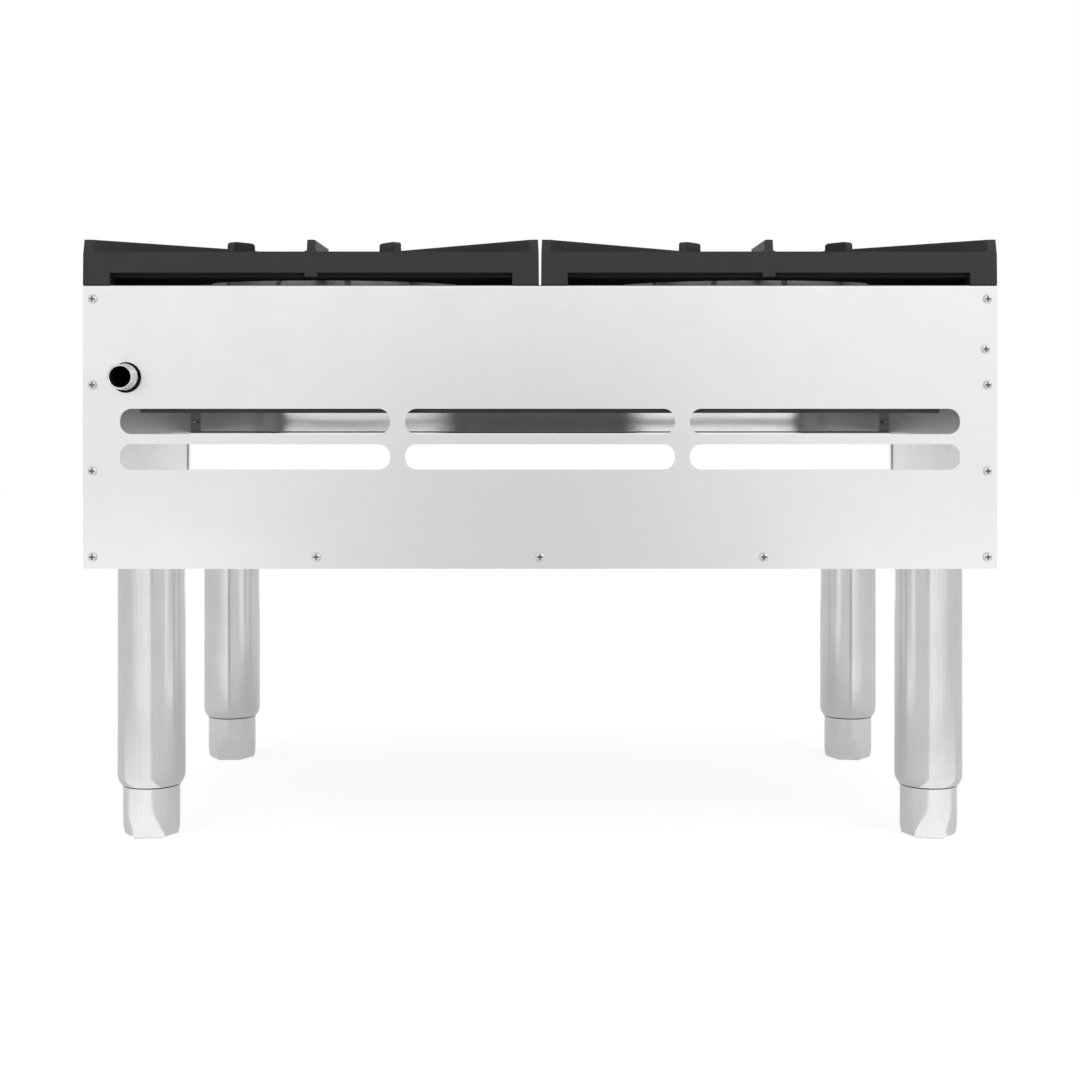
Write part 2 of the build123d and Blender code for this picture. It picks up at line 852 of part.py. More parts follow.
def window_plate(x, d0, d1):
    """Air windows and the hood hole of a mixer face or shutter, as one cutter."""
    view = Plane(origin=(x, y_at(d0), mixer_z), x_dir=(1, 0, 0), z_dir=(0, -1, 0))
    reach = 2 * window_outer
    spread = reach * tan(radians(window_sweep / 2))
    wedge = make_face(Polyline((0, 0), (reach, spread), (reach, -spread), close=True))
    wedges = wedge + Rot(0, 0, 180) * wedge
    windows = (Circle(window_outer) - Circle(window_inner)) & wedges
    hole = Circle(hood_across / sqrt(3) + hood_hole_gap)
    return extrude(view * (windows + hole), amount=d1 - d0)


def burner_leg(x, depth):
    """Cast leg from a ring down to the rear support."""
    return rod_z(x, depth, burner_leg_radius, rear_support_top, burner_base + ring_edge)


def ring_depth(radius, offset_x, towards_front):
    """Depth at which a circle round the burner's centre meets a given X offset."""
    reach = sqrt(radius**2 - offset_x**2)
    return burner_depth + (reach if towards_front else -reach)


def make_outer_burner(x):
    """Outer ring burner of the section at x, with its mixer and two legs."""
    radius = outer_ring_mid
    mixer_x = x + mixer_spacing / 2
    end = ring_depth(radius, mixer_spacing / 2, True)
    burner = Pos(x, y_at(burner_depth), 0) * burner_ring(outer_ring_in, outer_ring_out, outer_ports)
    for side in (1, -1):
        burner += burner_leg(x + side * outer_leg_spread, ring_depth(radius, outer_leg_spread, False))
    burner += rod_z(mixer_x, end, riser_radius, mixer_z, burner_base + ring_edge)
    return burner + mixer_tube(mixer_x, end)


def make_inner_burner(x):
    """Middle and hub rings joined by bridges, with their mixer and two legs."""
    radius = middle_ring_mid
    mixer_x = x - mixer_spacing / 2
    end = ring_depth(radius, mixer_spacing / 2, True)
    rings = burner_ring(middle_ring_in, middle_ring_out, middle_ports)
    rings += burner_ring(hub_ring_in, hub_ring_out, hub_ports)
    bridge_length = middle_ring_in - hub_ring_out + 2 * ring_edge
    bridge_height = burner_height - port_ledge_height
    bridge = Box(bridge_length, bridge_width, bridge_height)
    for spot in PolarLocations((middle_ring_in + hub_ring_out) / 2, bridge_count, start_angle=90):
        rings += Pos(0, 0, burner_base + bridge_height / 2) * spot * bridge
    burner = Pos(x, y_at(burner_depth), 0) * rings
    for side in (1, -1):
        burner += burner_leg(x + side * middle_leg_spread, ring_depth(radius, middle_leg_spread, False))
    burner += rod_z(mixer_x, end, riser_radius, mixer_z, burner_base + ring_edge)
    return burner + mixer_tube(mixer_x, end)


def make_air_shutter(x):
    """Cap that turns on the mixer's face and covers its air windows."""
    bore = mixer_face_radius + shutter_running_gap
    rim = bore + shutter_wall
    inside = mixer_mouth + shutter_face_gap
    front = inside + shutter_sheet
    back = front - shutter_skirt
    outline = [(0, inside), (bore, inside), (bore, back), (rim, back), (rim, front), (0, front)]
    shutter = turned_y(outline, x, mixer_z)
    tab_half = shutter_tab / 2
    tab = block(x - tab_half, x + tab_half, inside, front, mixer_z + rim - 1, mixer_z + rim + shutter_tab)
    return shutter + tab - window_plate(x, inside - 1, front + 1)


# --- gas train ------------------------------------------------------------------
def make_inlet_pipe():
    """Supply pipe from behind the rear panel to the elbow at the front."""
    end = manifold_depth - fitting_reach + pipe_engagement
    pipe = rod_y(inlet_x, inlet_z, pipe_radius, thread_length - inlet_stub, end)
    pipe += rod_y(inlet_x, inlet_z, thread_radius, -inlet_stub, thread_length - inlet_stub)
    return pipe - rod_y(inlet_x, inlet_z, pipe_bore, -inlet_stub - 1, end + 1)


def make_inlet_elbow():
    """Banded elbow between the supply pipe and the manifold."""
    arm = fitting_reach
    rear_arm = rod_y(inlet_x, inlet_z, fitting_radius, manifold_depth - arm, manifold_depth)
    side_arm = rod_x(manifold_depth, inlet_z, fitting_radius, inlet_x - arm, inlet_x)
    knuckle = Pos(inlet_x, y_at(manifold_depth), inlet_z) * Sphere(fitting_radius)
    band_y = rod_y(inlet_x, inlet_z, fitting_band, manifold_depth - arm,
                   manifold_depth - arm + fitting_band_length)
    band_x = rod_x(manifold_depth, inlet_z, fitting_band, inlet_x - arm,
                   inlet_x - arm + fitting_band_length)
    elbow = rear_arm + side_arm + knuckle + band_y + band_x
    socket = pipe_radius + thread_clearance
    depth_end = manifold_depth - arm + pipe_engagement
    elbow -= rod_y(inlet_x, inlet_z, socket, manifold_depth - arm - 1, depth_end)
    elbow -= rod_x(manifold_depth, inlet_z, socket, inlet_x - arm - 1, inlet_x - arm + pipe_engagement)
    elbow -= rod_y(inlet_x, inlet_z, pipe_bore, manifold_depth - arm - 1, manifold_depth)
    elbow -= rod_x(manifold_depth, inlet_z, pipe_bore, inlet_x - arm - 1, inlet_x)
    return elbow


def make_manifold():
    """Manifold pipe along the front, with a tapped hole under every valve."""
    start = -manifold_end_x
    end = inlet_x - fitting_reach + pipe_engagement
    pipe = rod_x(manifold_depth, inlet_z, pipe_radius, start, end)
    pipe -= rod_x(manifold_depth, inlet_z, pipe_bore, start - 1, end + 1)
    for x in mixer_places():
        pipe -= rod_z(x, manifold_depth, valve_boss_radius + thread_clearance,
                      inlet_z, inlet_z + 2 * pipe_radius)
    for x in sections():
        pipe -= rod_z(x, manifold_depth, pilot_boss_radius + thread_clearance,
                      inlet_z, inlet_z + 2 * pipe_radius)
    return pipe


def make_manifold_cap():
    """Pipe cap on the manifold's closed end."""
    inner_end = -manifold_end_x + pipe_engagement
    outer_end = inner_end - cap_length
    cap = rod_x(manifold_depth, inlet_z, fitting_radius, outer_end, inner_end)
    cap += rod_x(manifold_depth, inlet_z, fitting_band, inner_end - fitting_band_length, inner_end)
    socket = pipe_radius + thread_clearance
    return cap - rod_x(manifold_depth, inlet_z, socket, -manifold_end_x, inner_end + 1)


def make_manifold_bracket(x):
    """Eye round the manifold on an arm from the control panel's inner face."""
    bore = pipe_radius + eye_clearance
    eye = rod_x(manifold_depth, inlet_z, bore + eye_wall, x - eye_width / 2, x + eye_width / 2)
    arm = block(x - eye_width / 2, x + eye_width / 2, manifold_depth, nose_inner - eye_foot_thickness,
                inlet_z - eye_wall / 2, inlet_z + eye_wall)
    foot = block(x - eye_width / 2, x + eye_width / 2, nose_inner - eye_foot_thickness, nose_inner,
                 inlet_z - eye_wall / 2, inlet_z + eye_foot_height)
    hole = rod_x(manifold_depth, inlet_z, bore, x - eye_width, x + eye_width)
    return eye + arm + foot - hole


def make_gas_valve(x):
    """Plug valve on the manifold: boss, plug housing and bonnet."""
    rear = manifold_depth - valve_rear_reach
    bonnet_back = valve_front - bonnet_thickness
    body = [
        (0, rear),
        (hood_tip_radius, rear),
        (valve_body_radius - valve_chamfer, rear + valve_nose),
        (valve_body_radius, rear + valve_shoulder),
        (valve_body_radius, bonnet_back - 2 * valve_chamfer),
        (valve_body_radius - valve_chamfer, bonnet_back),
        (0, bonnet_back),
    ]
    valve = turned_y(body, x, mixer_z)
    valve += rod_z(x, manifold_depth, valve_boss_radius, inlet_z + pipe_bore, mixer_z)
    valve += hex_z(x, manifold_depth, valve_boss_hex, inlet_z + pipe_radius + seam,
                   mixer_z - valve_body_radius / 2)
    view = Plane(origin=(x, y_at(bonnet_back), mixer_z), x_dir=(1, 0, 0), z_dir=(0, -1, 0))
    bonnet = RectangleRounded(bonnet_width, bonnet_height, bonnet_height / 2 - 1)
    valve += extrude(view * bonnet, amount=bonnet_thickness)
    socket_back = valve_front - stem_socket
    return valve - rod_y(x, mixer_z, stem_bore_radius, socket_back, valve_front + 1)


def make_orifice_hood(x):
    """Brass hood that aims the gas jet down the mixer."""
    back = manifold_depth - valve_rear_reach
    hood = hex_y(x, mixer_z, hood_across, hood_end + hood_tip_length, back)
    tip = [
        (0, hood_end),
        (hood_tip_radius, hood_end),
        (hood_across / 2 - seam, hood_end + hood_tip_length),
        (0, hood_end + hood_tip_length),
    ]
    hood += turned_y(tip, x, mixer_z)
    return hood - rod_y(x, mixer_z, hood_orifice, hood_end - 1, back - hood_length / 2)


def flatted_stem(radius, d0, d1):
    """Round bar with one flat on top, on the X = 0, Z = mixer_z axis."""
    bar = rod_y(0, mixer_z, radius, d0, d1)
    flat = stem_flat + radius - stem_radius
    return bar - block(-radius, radius, d0 - 1, d1 + 1, mixer_z + flat, mixer_z + 2 * radius)


def make_valve_stem(x):
    """Valve plug stem: round in the valve, flatted where the knob sits."""
    back = valve_front - stem_socket + seam
    middle = knob_back - seam
    end = back + stem_length + stem_socket / 2
    stem = rod_y(0, mixer_z, stem_radius, back, middle)
    return Pos(x, 0, 0) * (stem + flatted_stem(stem_radius, middle, end))


def make_knob(x):
    """Fluted knob with a skirt, a pointer ridge and a flatted bore."""
    front = knob_back + knob_length
    skirt_end = knob_back + knob_skirt
    outline = [
        (0, knob_back),
        (knob_radius - knob_edge, knob_back),
        (knob_radius, knob_back + knob_edge),
        (knob_radius, skirt_end - knob_edge),
        (knob_grip_radius + knob_edge, skirt_end),
        (knob_grip_radius, skirt_end + knob_taper),
        (knob_grip_radius - knob_taper, front - knob_crown),
        (knob_grip_radius - knob_taper - knob_crown, front),
        (0, front),
    ]
    knob = turned_y(outline, 0, mixer_z)
    flute_at = knob_grip_radius + knob_flute_radius / 2
    for index in range(knob_flutes):
        angle = 2 * pi * (index + 0.5) / knob_flutes
        knob -= rod_y(flute_at * cos(angle), mixer_z + flute_at * sin(angle),
                      knob_flute_radius, skirt_end + knob_edge, front + 1)
    ridge_half = knob_flute_radius / 2
    ridge = block(-ridge_half, ridge_half, skirt_end, front - knob_edge,
                  mixer_z, mixer_z + knob_grip_radius + knob_edge)
    knob += ridge
    stem_end = valve_front - stem_socket + seam + stem_length + stem_socket / 2
    bore = flatted_stem(stem_bore_radius, knob_back - 1, stem_end + seam)
    return Pos(x, 0, 0) * (knob - bore)


def make_bezel(x):
    """Dished ring behind a knob."""
    back = nose_front
    outline = [
        (bezel_hole, back),
        (bezel_radius, back),
        (bezel_radius, back + bezel_thickness / 2),
        (bezel_radius - bezel_step, back + bezel_thickness),
        (bezel_hole, back + bezel_thickness),
    ]
    return turned_y(outline, x, mixer_z)


# --- pilots ---------------------------------------------------------------------
def make_pilot_valve(x):
    """Small hexagonal pilot valve on the manifold with its adjusting screw."""
    front = manifold_depth + pilot_valve_front
    rear = manifold_depth - pilot_valve_rear
    valve = hex_y(x, mixer_z, pilot_valve_across, rear, front)
    valve += rod_y(x, mixer_z, pilot_screw_radius, front, front + pilot_screw_length)
    valve += rod_z(x, manifold_depth, pilot_boss_radius, inlet_z + pipe_bore, mixer_z)
    valve += hex_y(x, mixer_z, pilot_nut_across, rear - pilot_nut_length, rear)
    return valve


def make_pilot_tube(x):
    """Bent tube from the pilot valve to the gap between the rings."""
    top = burner_top - pilot_tip_height
    start = (x, y_at(pilot_tube_start), mixer_z)
    corner = (x, y_at(pilot_depth), mixer_z)
    end = (x, y_at(pilot_depth), top)
    path = FilletPolyline(start, corner, end, radius=pilot_tube_bend)
    section = Plane(origin=start, z_dir=(0, 1, 0)) * Circle(pilot_tube_radius)
    return sweep(section, path=path)


def make_pilot_tip(x):
    """Hooded pilot tip on the end of its tube."""
    low = burner_top - pilot_tip_height
    slit = pilot_tip_radius / 2
    tip = rod_z(x, pilot_depth, pilot_tip_radius, low, burner_top)
    return tip - block(x - slit / 2, x + slit / 2, pilot_depth - 2 * pilot_tip_radius,
                       pilot_depth + 2 * pilot_tip_radius, burner_top - slit, burner_top + 1)


# --- legs and feet --------------------------------------------------------------
def make_leg(x, depth):
    """Round leg tube with a rolled-in open end, a cap and a fixing stud."""
    lip = foot_radius + foot_clearance
    base = leg_open_height
    bend_top = base + leg_lip_rise
    inside = leg_radius - leg_wall
    rise = leg_lip_rise * lip_curve_up
    outer_mid = (lip + (leg_radius - lip) * lip_curve_out, base + rise)
    inner_mid = (lip + (inside - lip) * lip_curve_out, base + leg_wall + rise)
    edges = [
        ThreePointArc((lip, base), outer_mid, (leg_radius, bend_top)),
        Polyline((leg_radius, bend_top), (leg_radius, body_base), (0, body_base),
                 (0, body_base - leg_cap), (inside, body_base - leg_cap), (inside, bend_top)),
        ThreePointArc((inside, bend_top), inner_mid, (lip, base + leg_wall)),
        Line((lip, base + leg_wall), (lip, base)),
    ]
    face = make_face(Plane.XZ * (Curve() + edges))
    tube = Pos(x, y_at(depth), 0) * revolve(face, Axis.Z)
    return tube + rod_z(x, depth, leg_stud_radius, body_base - leg_cap, body_base + leg_stud_length)


def make_foot(x, depth):
    """Adjustable foot: round body, six wrench facets at its base, threaded stud."""
    low = RegularPolygon(foot_base_flat, 6, major_radius=False)
    spread = foot_base_flat + foot_radius * tan(radians(foot_base_slope))
    high = Pos(0, 0, foot_radius) * RegularPolygon(spread, 6, major_radius=False)
    nose = Pos(0, 0, foot_radius / 2) * Cylinder(foot_radius, foot_radius)
    foot = nose & loft([low, high])
    foot = fillet(foot.faces().sort_by(Axis.Z)[0].edges(), foot_base_round)
    round_height = foot_height - foot_radius
    foot += Pos(0, 0, foot_radius + round_height / 2) * Cylinder(foot_radius, round_height)
    stud_z = foot_height + foot_stud_length / 2
    foot += Pos(0, 0, stud_z) * Cylinder(foot_stud_radius, foot_stud_length)
    turn = left_foot_turn if x > 0 else right_foot_turn
    return Pos(x, y_at(depth), 0) * Rot(0, 0, turn) * foot


def make_foot_insert(x, depth):
    """Threaded disc fixed inside the leg tube, which the foot's stud screws into."""
    radius = leg_radius - leg_wall - insert_gap
    disc = rod_z(x, depth, radius, foot_insert_z, foot_insert_z + insert_height)
    return disc - rod_z(x, depth, foot_stud_radius + thread_clearance,
                        foot_insert_z - 1, foot_insert_z + insert_height + 1)


def make_leg_plate(x, depth):
    """Stiffening plate inside the base channel over a leg."""
    half = leg_plate_size / 2
    low = body_base + sheet
    back = depth - half
    front = depth + half if depth > body_depth / 2 else rear_channel_end - bend
    side = 1 if x > 0 else -1
    plate = block(x - side * half, side * (inner_x - bend), back, front, low, low + leg_plate_thickness)
    return plate - rod_z(x, depth, leg_stud_hole, low - 1, low + leg_plate_thickness + 1)


def make_leg_nut(x, depth):
    """Nut on the leg's stud."""
    low = body_base + sheet + leg_plate_thickness
    nut = hex_z(x, depth, leg_nut_width, low, low + leg_nut_height)
    return nut - rod_z(x, depth, leg_stud_radius + thread_clearance, low - 1, low + leg_nut_height + 1)


# --- fasteners ------------------------------------------------------------------
def screw_outline(length):
    """Half outline of a pan-head screw: head below zero, shank above."""
    return [
        (0, -screw_head_height),
        (screw_head_radius * screw_crown_edge, -screw_head_height * screw_crown),
        (screw_head_radius * screw_side_edge, -screw_head_height / 2),
        (screw_head_radius, 0),
        (screw_radius, 0),
        (screw_radius, length - screw_radius / 2),
        (0, length),
    ]


def make_rear_screw(x, z):
    """Pan-head screw through the rear panel into a flange."""
    return turned_y(screw_outline(screw_length), x, z)


def make_side_screw(depth, z):
    """Pan-head screw through the +X side panel into an end tab."""
    points = [(half_width - along, radius) for radius, along in screw_outline(screw_length)]
    face = make_face(Polyline(*points, close=True))
    return Pos(0, y_at(depth), z) * revolve(face, Axis.X)


# --- write every piece ------------------------------------------------------------
os.makedirs("parts", exist_ok=True)

save("rear_panel", make_rear_panel())
side_panel = make_side_panel()
save("side_panel_left", side_panel)
save("side_panel_right", other_end(side_panel))
save("control_panel", make_control_panel())
save("front_lower_rail", make_front_rail())
save("center_divider", make_center_divider())
save("base_channel_rear", make_rear_channel())
save("base_channel_front", make_front_channel())
save("burner_support_front", make_front_support())
save("burner_support_rear", make_rear_support())
tray_runner = make_tray_runner()
save("tray_runner_left", tray_runner)
save("tray_runner_right", other_end(tray_runner))
save("drip_tray", make_drip_tray())

grate = make_grate()
for name, x in zip(("left", "right"), sections()):
    save(f"grate_{name}", Pos(x, y_at(grate_half_y), body_top) * grate)
    save(f"outer_burner_{name}", make_outer_burner(x))
    save(f"inner_burner_{name}", make_inner_burner(x))

for number, x in enumerate(mixer_places(), start=1):
    save(f"air_shutter_{number}", make_air_shutter(x))
    save(f"gas_valve_{number}", make_gas_valve(x))
    save(f"valve_stem_{number}", make_valve_stem(x))
    save(f"knob_{number}", make_knob(x))
save("knob_bezels", Compound(children=[make_bezel(x) for x in mixer_places()]))
save("orifice_hoods", Compound(children=[make_orifice_hood(x) for x in mixer_places()]))

save("inlet_pipe", make_inlet_pipe())
save("inlet_elbow", make_inlet_elbow())
save("manifold_pipe", make_manifold())
save("manifold_cap", make_manifold_cap())
save("manifold_brackets", Compound(children=[make_manifold_bracket(side * eye_x) for side in (1, -1)]))
save("pilot_valves", Compound(children=[make_pilot_valve(x) for x in sections()]))
save("pilot_tubes", Compound(children=[make_pilot_tube(x) for x in sections()]))
save("pilot_tips", Compound(children=[make_pilot_tip(x) for x in sections()]))

leg_names = ("rear_left", "rear_right", "front_left", "front_right")
for name, (x, depth) in zip(leg_names, leg_places()):
    save(f"leg_{name}", make_leg(x, depth))
    save(f"foot_{name}", make_foot(x, depth))
save("foot_inserts", Compound(children=[make_foot_insert(*place) for place in leg_places()]))
save("leg_plates", Compound(children=[make_leg_plate(*place) for place in leg_places()]))
save("leg_nuts", Compound(children=[make_leg_nut(*place) for place in leg_places()]))

save("rear_panel_screws", Compound(children=[make_rear_screw(*place) for place in rear_screw_places()]))
side_screws = [make_side_screw(*place) for place in side_screw_places()]
save("side_panel_screws", Compound(children=side_screws + [other_end(screw) for screw in side_screws]))
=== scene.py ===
import json
import logging
from dataclasses import dataclass, field
from enum import Enum
from typing import Optional, Sequence, Union

import bmesh
import bpy
import numpy as np
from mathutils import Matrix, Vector

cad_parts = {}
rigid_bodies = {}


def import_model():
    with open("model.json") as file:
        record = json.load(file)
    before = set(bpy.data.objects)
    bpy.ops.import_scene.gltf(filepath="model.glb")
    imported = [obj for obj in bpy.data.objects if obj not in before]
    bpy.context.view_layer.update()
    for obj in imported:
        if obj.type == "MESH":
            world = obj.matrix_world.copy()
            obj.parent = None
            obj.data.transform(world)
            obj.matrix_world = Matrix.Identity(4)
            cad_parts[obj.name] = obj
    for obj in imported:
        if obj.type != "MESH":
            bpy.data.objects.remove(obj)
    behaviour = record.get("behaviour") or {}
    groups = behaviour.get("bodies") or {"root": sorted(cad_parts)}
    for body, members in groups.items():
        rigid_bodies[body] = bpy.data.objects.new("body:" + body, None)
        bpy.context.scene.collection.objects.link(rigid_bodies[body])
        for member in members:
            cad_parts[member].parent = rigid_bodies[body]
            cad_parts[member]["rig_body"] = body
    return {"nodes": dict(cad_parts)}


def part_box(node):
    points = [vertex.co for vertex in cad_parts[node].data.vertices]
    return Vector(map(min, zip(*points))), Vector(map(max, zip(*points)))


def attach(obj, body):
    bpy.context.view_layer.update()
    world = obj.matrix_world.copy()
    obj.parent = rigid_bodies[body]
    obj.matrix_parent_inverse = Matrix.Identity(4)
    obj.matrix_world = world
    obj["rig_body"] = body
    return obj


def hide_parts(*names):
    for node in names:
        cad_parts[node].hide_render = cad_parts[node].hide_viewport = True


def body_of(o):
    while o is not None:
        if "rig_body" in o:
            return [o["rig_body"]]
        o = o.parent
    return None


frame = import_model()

# Studio scene of a two-section stock pot range, seen from behind. Metres, in the
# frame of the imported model: +X is the end with the gas inlet, -Y the front.

LOG = logging.getLogger("range_scene")
MM = 0.001
# How high the painted shade reaches inside the grates, and the width of the burners' rounded edges.
GRATE_SHADE_HEIGHT = 12.4 * MM
BURNER_EDGE = 0.6 * MM
# Nearly all values of a noise node lie in this range; tones turn a little faster.
NOISE_LOW, NOISE_HIGH = 0.30, 0.70
TONE_LOW, TONE_HIGH = 0.32, 0.68

Value = Union[float, int, bool, str, Sequence[float], bpy.types.NodeSocket]
Grid = np.ndarray
Point = tuple[float, float]
Triple = tuple[float, float, float]
Edges = tuple[float, float, float, float]
Surface = tuple[Grid, list[list[int]]]


# --- colour and nodes ---------------------------------------------------------
def linear(hex_code: str) -> tuple[float, float, float, float]:
    """Turns an sRGB hex colour into linear RGBA.

    Args:
        hex_code: six hex digits with a leading '#'.

    Returns:
        Linear red, green, blue and an alpha of 1.
    """
    channels = np.array([int(hex_code[i:i + 2], 16) for i in (1, 3, 5)]) / 255.0
    low = channels / 12.92
    high = ((channels + 0.055) / 1.055) ** 2.4
    red, green, blue = np.where(channels <= 0.04045, low, high)
    return float(red), float(green), float(blue), 1.0


def add_node(tree: bpy.types.NodeTree, kind: str, settings: Optional[dict[str, object]] = None,
             inputs: Optional[dict[Union[str, int], Value]] = None) -> bpy.types.Node:
    """Adds one shader node, sets its properties and fills or links its inputs.

    Args:
        tree: the node tree that gets the node.
        kind: the node's type name.
        settings: properties of the node, by name.
        inputs: values or sockets for its inputs, by name or index.

    Returns:
        The new node.
    """
    node = tree.nodes.new(kind)
    for name, value in (settings or {}).items():
        setattr(node, name, value)
    for name, value in (inputs or {}).items():
        if isinstance(value, bpy.types.NodeSocket):
            tree.links.new(value, node.inputs[name])
        else:
            node.inputs[name].default_value = value
    return node


class GrainAxis(Enum):
    """Direction in which a surface was ground, drawn or turned."""

    ALONG_X = (1, 0, 0)
    ALONG_Z = (0, 0, 1)


@dataclass(frozen=True)
class Finish:
    """What every finish shares.

    Attributes:
        name: the real material and how its surface was made.
        colour: sRGB hex of the lighter tone.
        shade: sRGB hex of the darker tone that blotches and streaks go to.
        roughness: mean roughness.
        metallic: 1 for bare metal, 0 for the rest.
    """

    name: str
    colour: str
    shade: str
    roughness: float
    metallic: float = 1.0

    def start(self) -> tuple[bpy.types.Material, bpy.types.NodeTree, bpy.types.Node]:
        """Makes the material and its shader.

        Returns:
            The material, its node tree and its Principled node.
        """
        material = bpy.data.materials.new(self.name)
        material.use_nodes = True
        tree = material.node_tree
        shader = tree.nodes["Principled BSDF"]
        shader.inputs["Metallic"].default_value = self.metallic
        shader.inputs["Roughness"].default_value = self.roughness
        return material, tree, shader

    def blotches(self, tree: bpy.types.NodeTree, size_mm: float, detail: float,
                 stretch: Triple = (1.0, 1.0, 1.0)) -> bpy.types.NodeSocket:
        """Noise of a real size on the piece's own coordinates.

        Args:
            tree: the node tree to add to.
            size_mm: size of one blotch.
            detail: octaves of finer noise.
            stretch: how many sizes long a blotch is along X, Y and Z.

        Returns:
            The noise's value socket.
        """
        place = add_node(tree, "ShaderNodeTexCoord")
        scale = [1.0 / (size_mm * MM * length) for length in stretch]
        turned = add_node(tree, "ShaderNodeMapping",
                          inputs={"Vector": place.outputs["Object"], "Scale": scale})
        noise = add_node(tree, "ShaderNodeTexNoise",
                         inputs={"Vector": turned.outputs["Vector"], "Scale": 1.0, "Detail": detail})
        return noise.outputs["Fac"]

    def tone(self, tree: bpy.types.NodeTree, shader: bpy.types.Node,
             amount: bpy.types.NodeSocket) -> None:
        """Mixes the two tones by a noise and feeds the base colour.

        Args:
            tree: the node tree to add to.
            shader: the Principled node.
            amount: noise that picks the tone.
        """
        spread = add_node(tree, "ShaderNodeMapRange", inputs={
            "Value": amount, "From Min": TONE_LOW, "From Max": TONE_HIGH})
        mixed = add_node(tree, "ShaderNodeMix", {"data_type": "RGBA"}, {
            "Factor": spread.outputs["Result"], 6: linear(self.colour), 7: linear(self.shade)})
        tree.links.new(mixed.outputs[2], shader.inputs["Base Color"])

    def roughen(self, tree: bpy.types.NodeTree, shader: bpy.types.Node, amount: bpy.types.NodeSocket,
                less: float, more: float) -> None:
        """Varies the roughness by a noise.

        Args:
            tree: the node tree to add to.
            shader: the Principled node.
            amount: noise that picks the roughness.
            less: roughness where the noise is low.
            more: roughness where it is high.
        """
        level = add_node(tree, "ShaderNodeMapRange", inputs={
            "Value": amount, "From Min": NOISE_LOW, "From Max": NOISE_HIGH, "To Min": less, "To Max": more})
        tree.links.new(level.outputs["Result"], shader.inputs["Roughness"])

    def build(self) -> bpy.types.Material:
        """Makes the material."""
        raise NotImplementedError


@dataclass(frozen=True)
class GroundSheet(Finish):
    """Stainless or coated sheet with a straight grain and faint handling marks.

    Attributes:
        axis: direction of the grain.
        streak_mm: width of one drawn streak; the real grit lines are 0.1 mm and
            are drawn coarser so that they show in the render.
        streak_length_mm: length of one streak.
        streak_depth_mm: height of the streaks.
        wave_mm: size of the sheet's own gentle waves.
        wave_depth_mm: height of those waves.
        spread: how much the roughness varies over streaks and marks.
        mark_mm: size of the handling marks.
        mark_share: how much the marks count in tone and roughness, beside the streaks.
    """

    axis: GrainAxis = GrainAxis.ALONG_X
    streak_mm: float = 0.5
    streak_length_mm: float = 60.0
    streak_depth_mm: float = 0.004
    wave_mm: float = 240.0
    wave_depth_mm: float = 0.5
    spread: float = 0.10
    mark_mm: float = 45.0
    mark_share: float = 0.45

    def build(self) -> bpy.types.Material:
        """Streaks feed roughness, tone and bump; broad waves bend the reflections.

        Returns:
            The material.
        """
        material, tree, shader = self.start()
        ratio = self.streak_length_mm / self.streak_mm
        stretch = tuple(ratio if along else 1.0 for along in self.axis.value)
        streaks = self.blotches(tree, self.streak_mm, detail=2.0, stretch=stretch)
        marks = self.blotches(tree, self.mark_mm, detail=4.0)
        both = add_node(tree, "ShaderNodeMix", inputs={"Factor": self.mark_share, 2: streaks, 3: marks})
        self.tone(tree, shader, both.outputs[0])
        self.roughen(tree, shader, both.outputs[0],
                     self.roughness - self.spread / 2, self.roughness + self.spread / 2)
        waves = self.blotches(tree, self.wave_mm, detail=0.0)
        broad = add_node(tree, "ShaderNodeBump", inputs={
            "Height": waves, "Strength": 1.0, "Distance": self.wave_depth_mm * MM})
        fine = add_node(tree, "ShaderNodeBump", inputs={
            "Height": streaks, "Strength": 1.0, "Distance": self.streak_depth_mm * MM,
            "Normal": broad.outputs["Normal"]})
        tree.links.new(fine.outputs["Normal"], shader.inputs["Normal"])
        return material


@dataclass(frozen=True)
class SheetShadedAboveTray(GroundSheet):
    """Ground sheet with painted shade above the drip tray, for the shadow that the tray and the rails cast
    there.

    Attributes:
        unshaded_height_mm: height over the floor up to which the sheet has no painted shade.
        fade_mm: height over which the painted shade grows to its full depth.
        tint: sRGB hex that the unshaded tone is multiplied by where the painted shade is full.
    """

    unshaded_height_mm: float = 404.5
    fade_mm: float = 3.0
    tint: str = "#C6C5C4"

    def build(self) -> bpy.types.Material:
        """Makes the plain sheet and lays painted shade over its tone above a height.

        Returns:
            The material.
        """
        material = super().build()
        tree = material.node_tree
        shader = tree.nodes["Principled BSDF"]
        clean = shader.inputs["Base Color"].links[0].from_socket
        place = add_node(tree, "ShaderNodeTexCoord")
        height = add_node(tree, "ShaderNodeSeparateXYZ", inputs={"Vector": place.outputs["Object"]})
        # Painted shade: the tone is multiplied darker above the drip tray's height.
        growth = add_node(tree, "ShaderNodeMapRange", inputs={
            "Value": height.outputs["Z"], "From Min": self.unshaded_height_mm * MM,
            "From Max": (self.unshaded_height_mm + self.fade_mm) * MM})
        shaded_tone = add_node(tree, "ShaderNodeMix", {"data_type": "RGBA", "blend_type": "MULTIPLY"},
                          {"Factor": growth.outputs["Result"], 6: clean, 7: linear(self.tint)})
        tree.links.new(shaded_tone.outputs[2], shader.inputs["Base Color"])
        return material


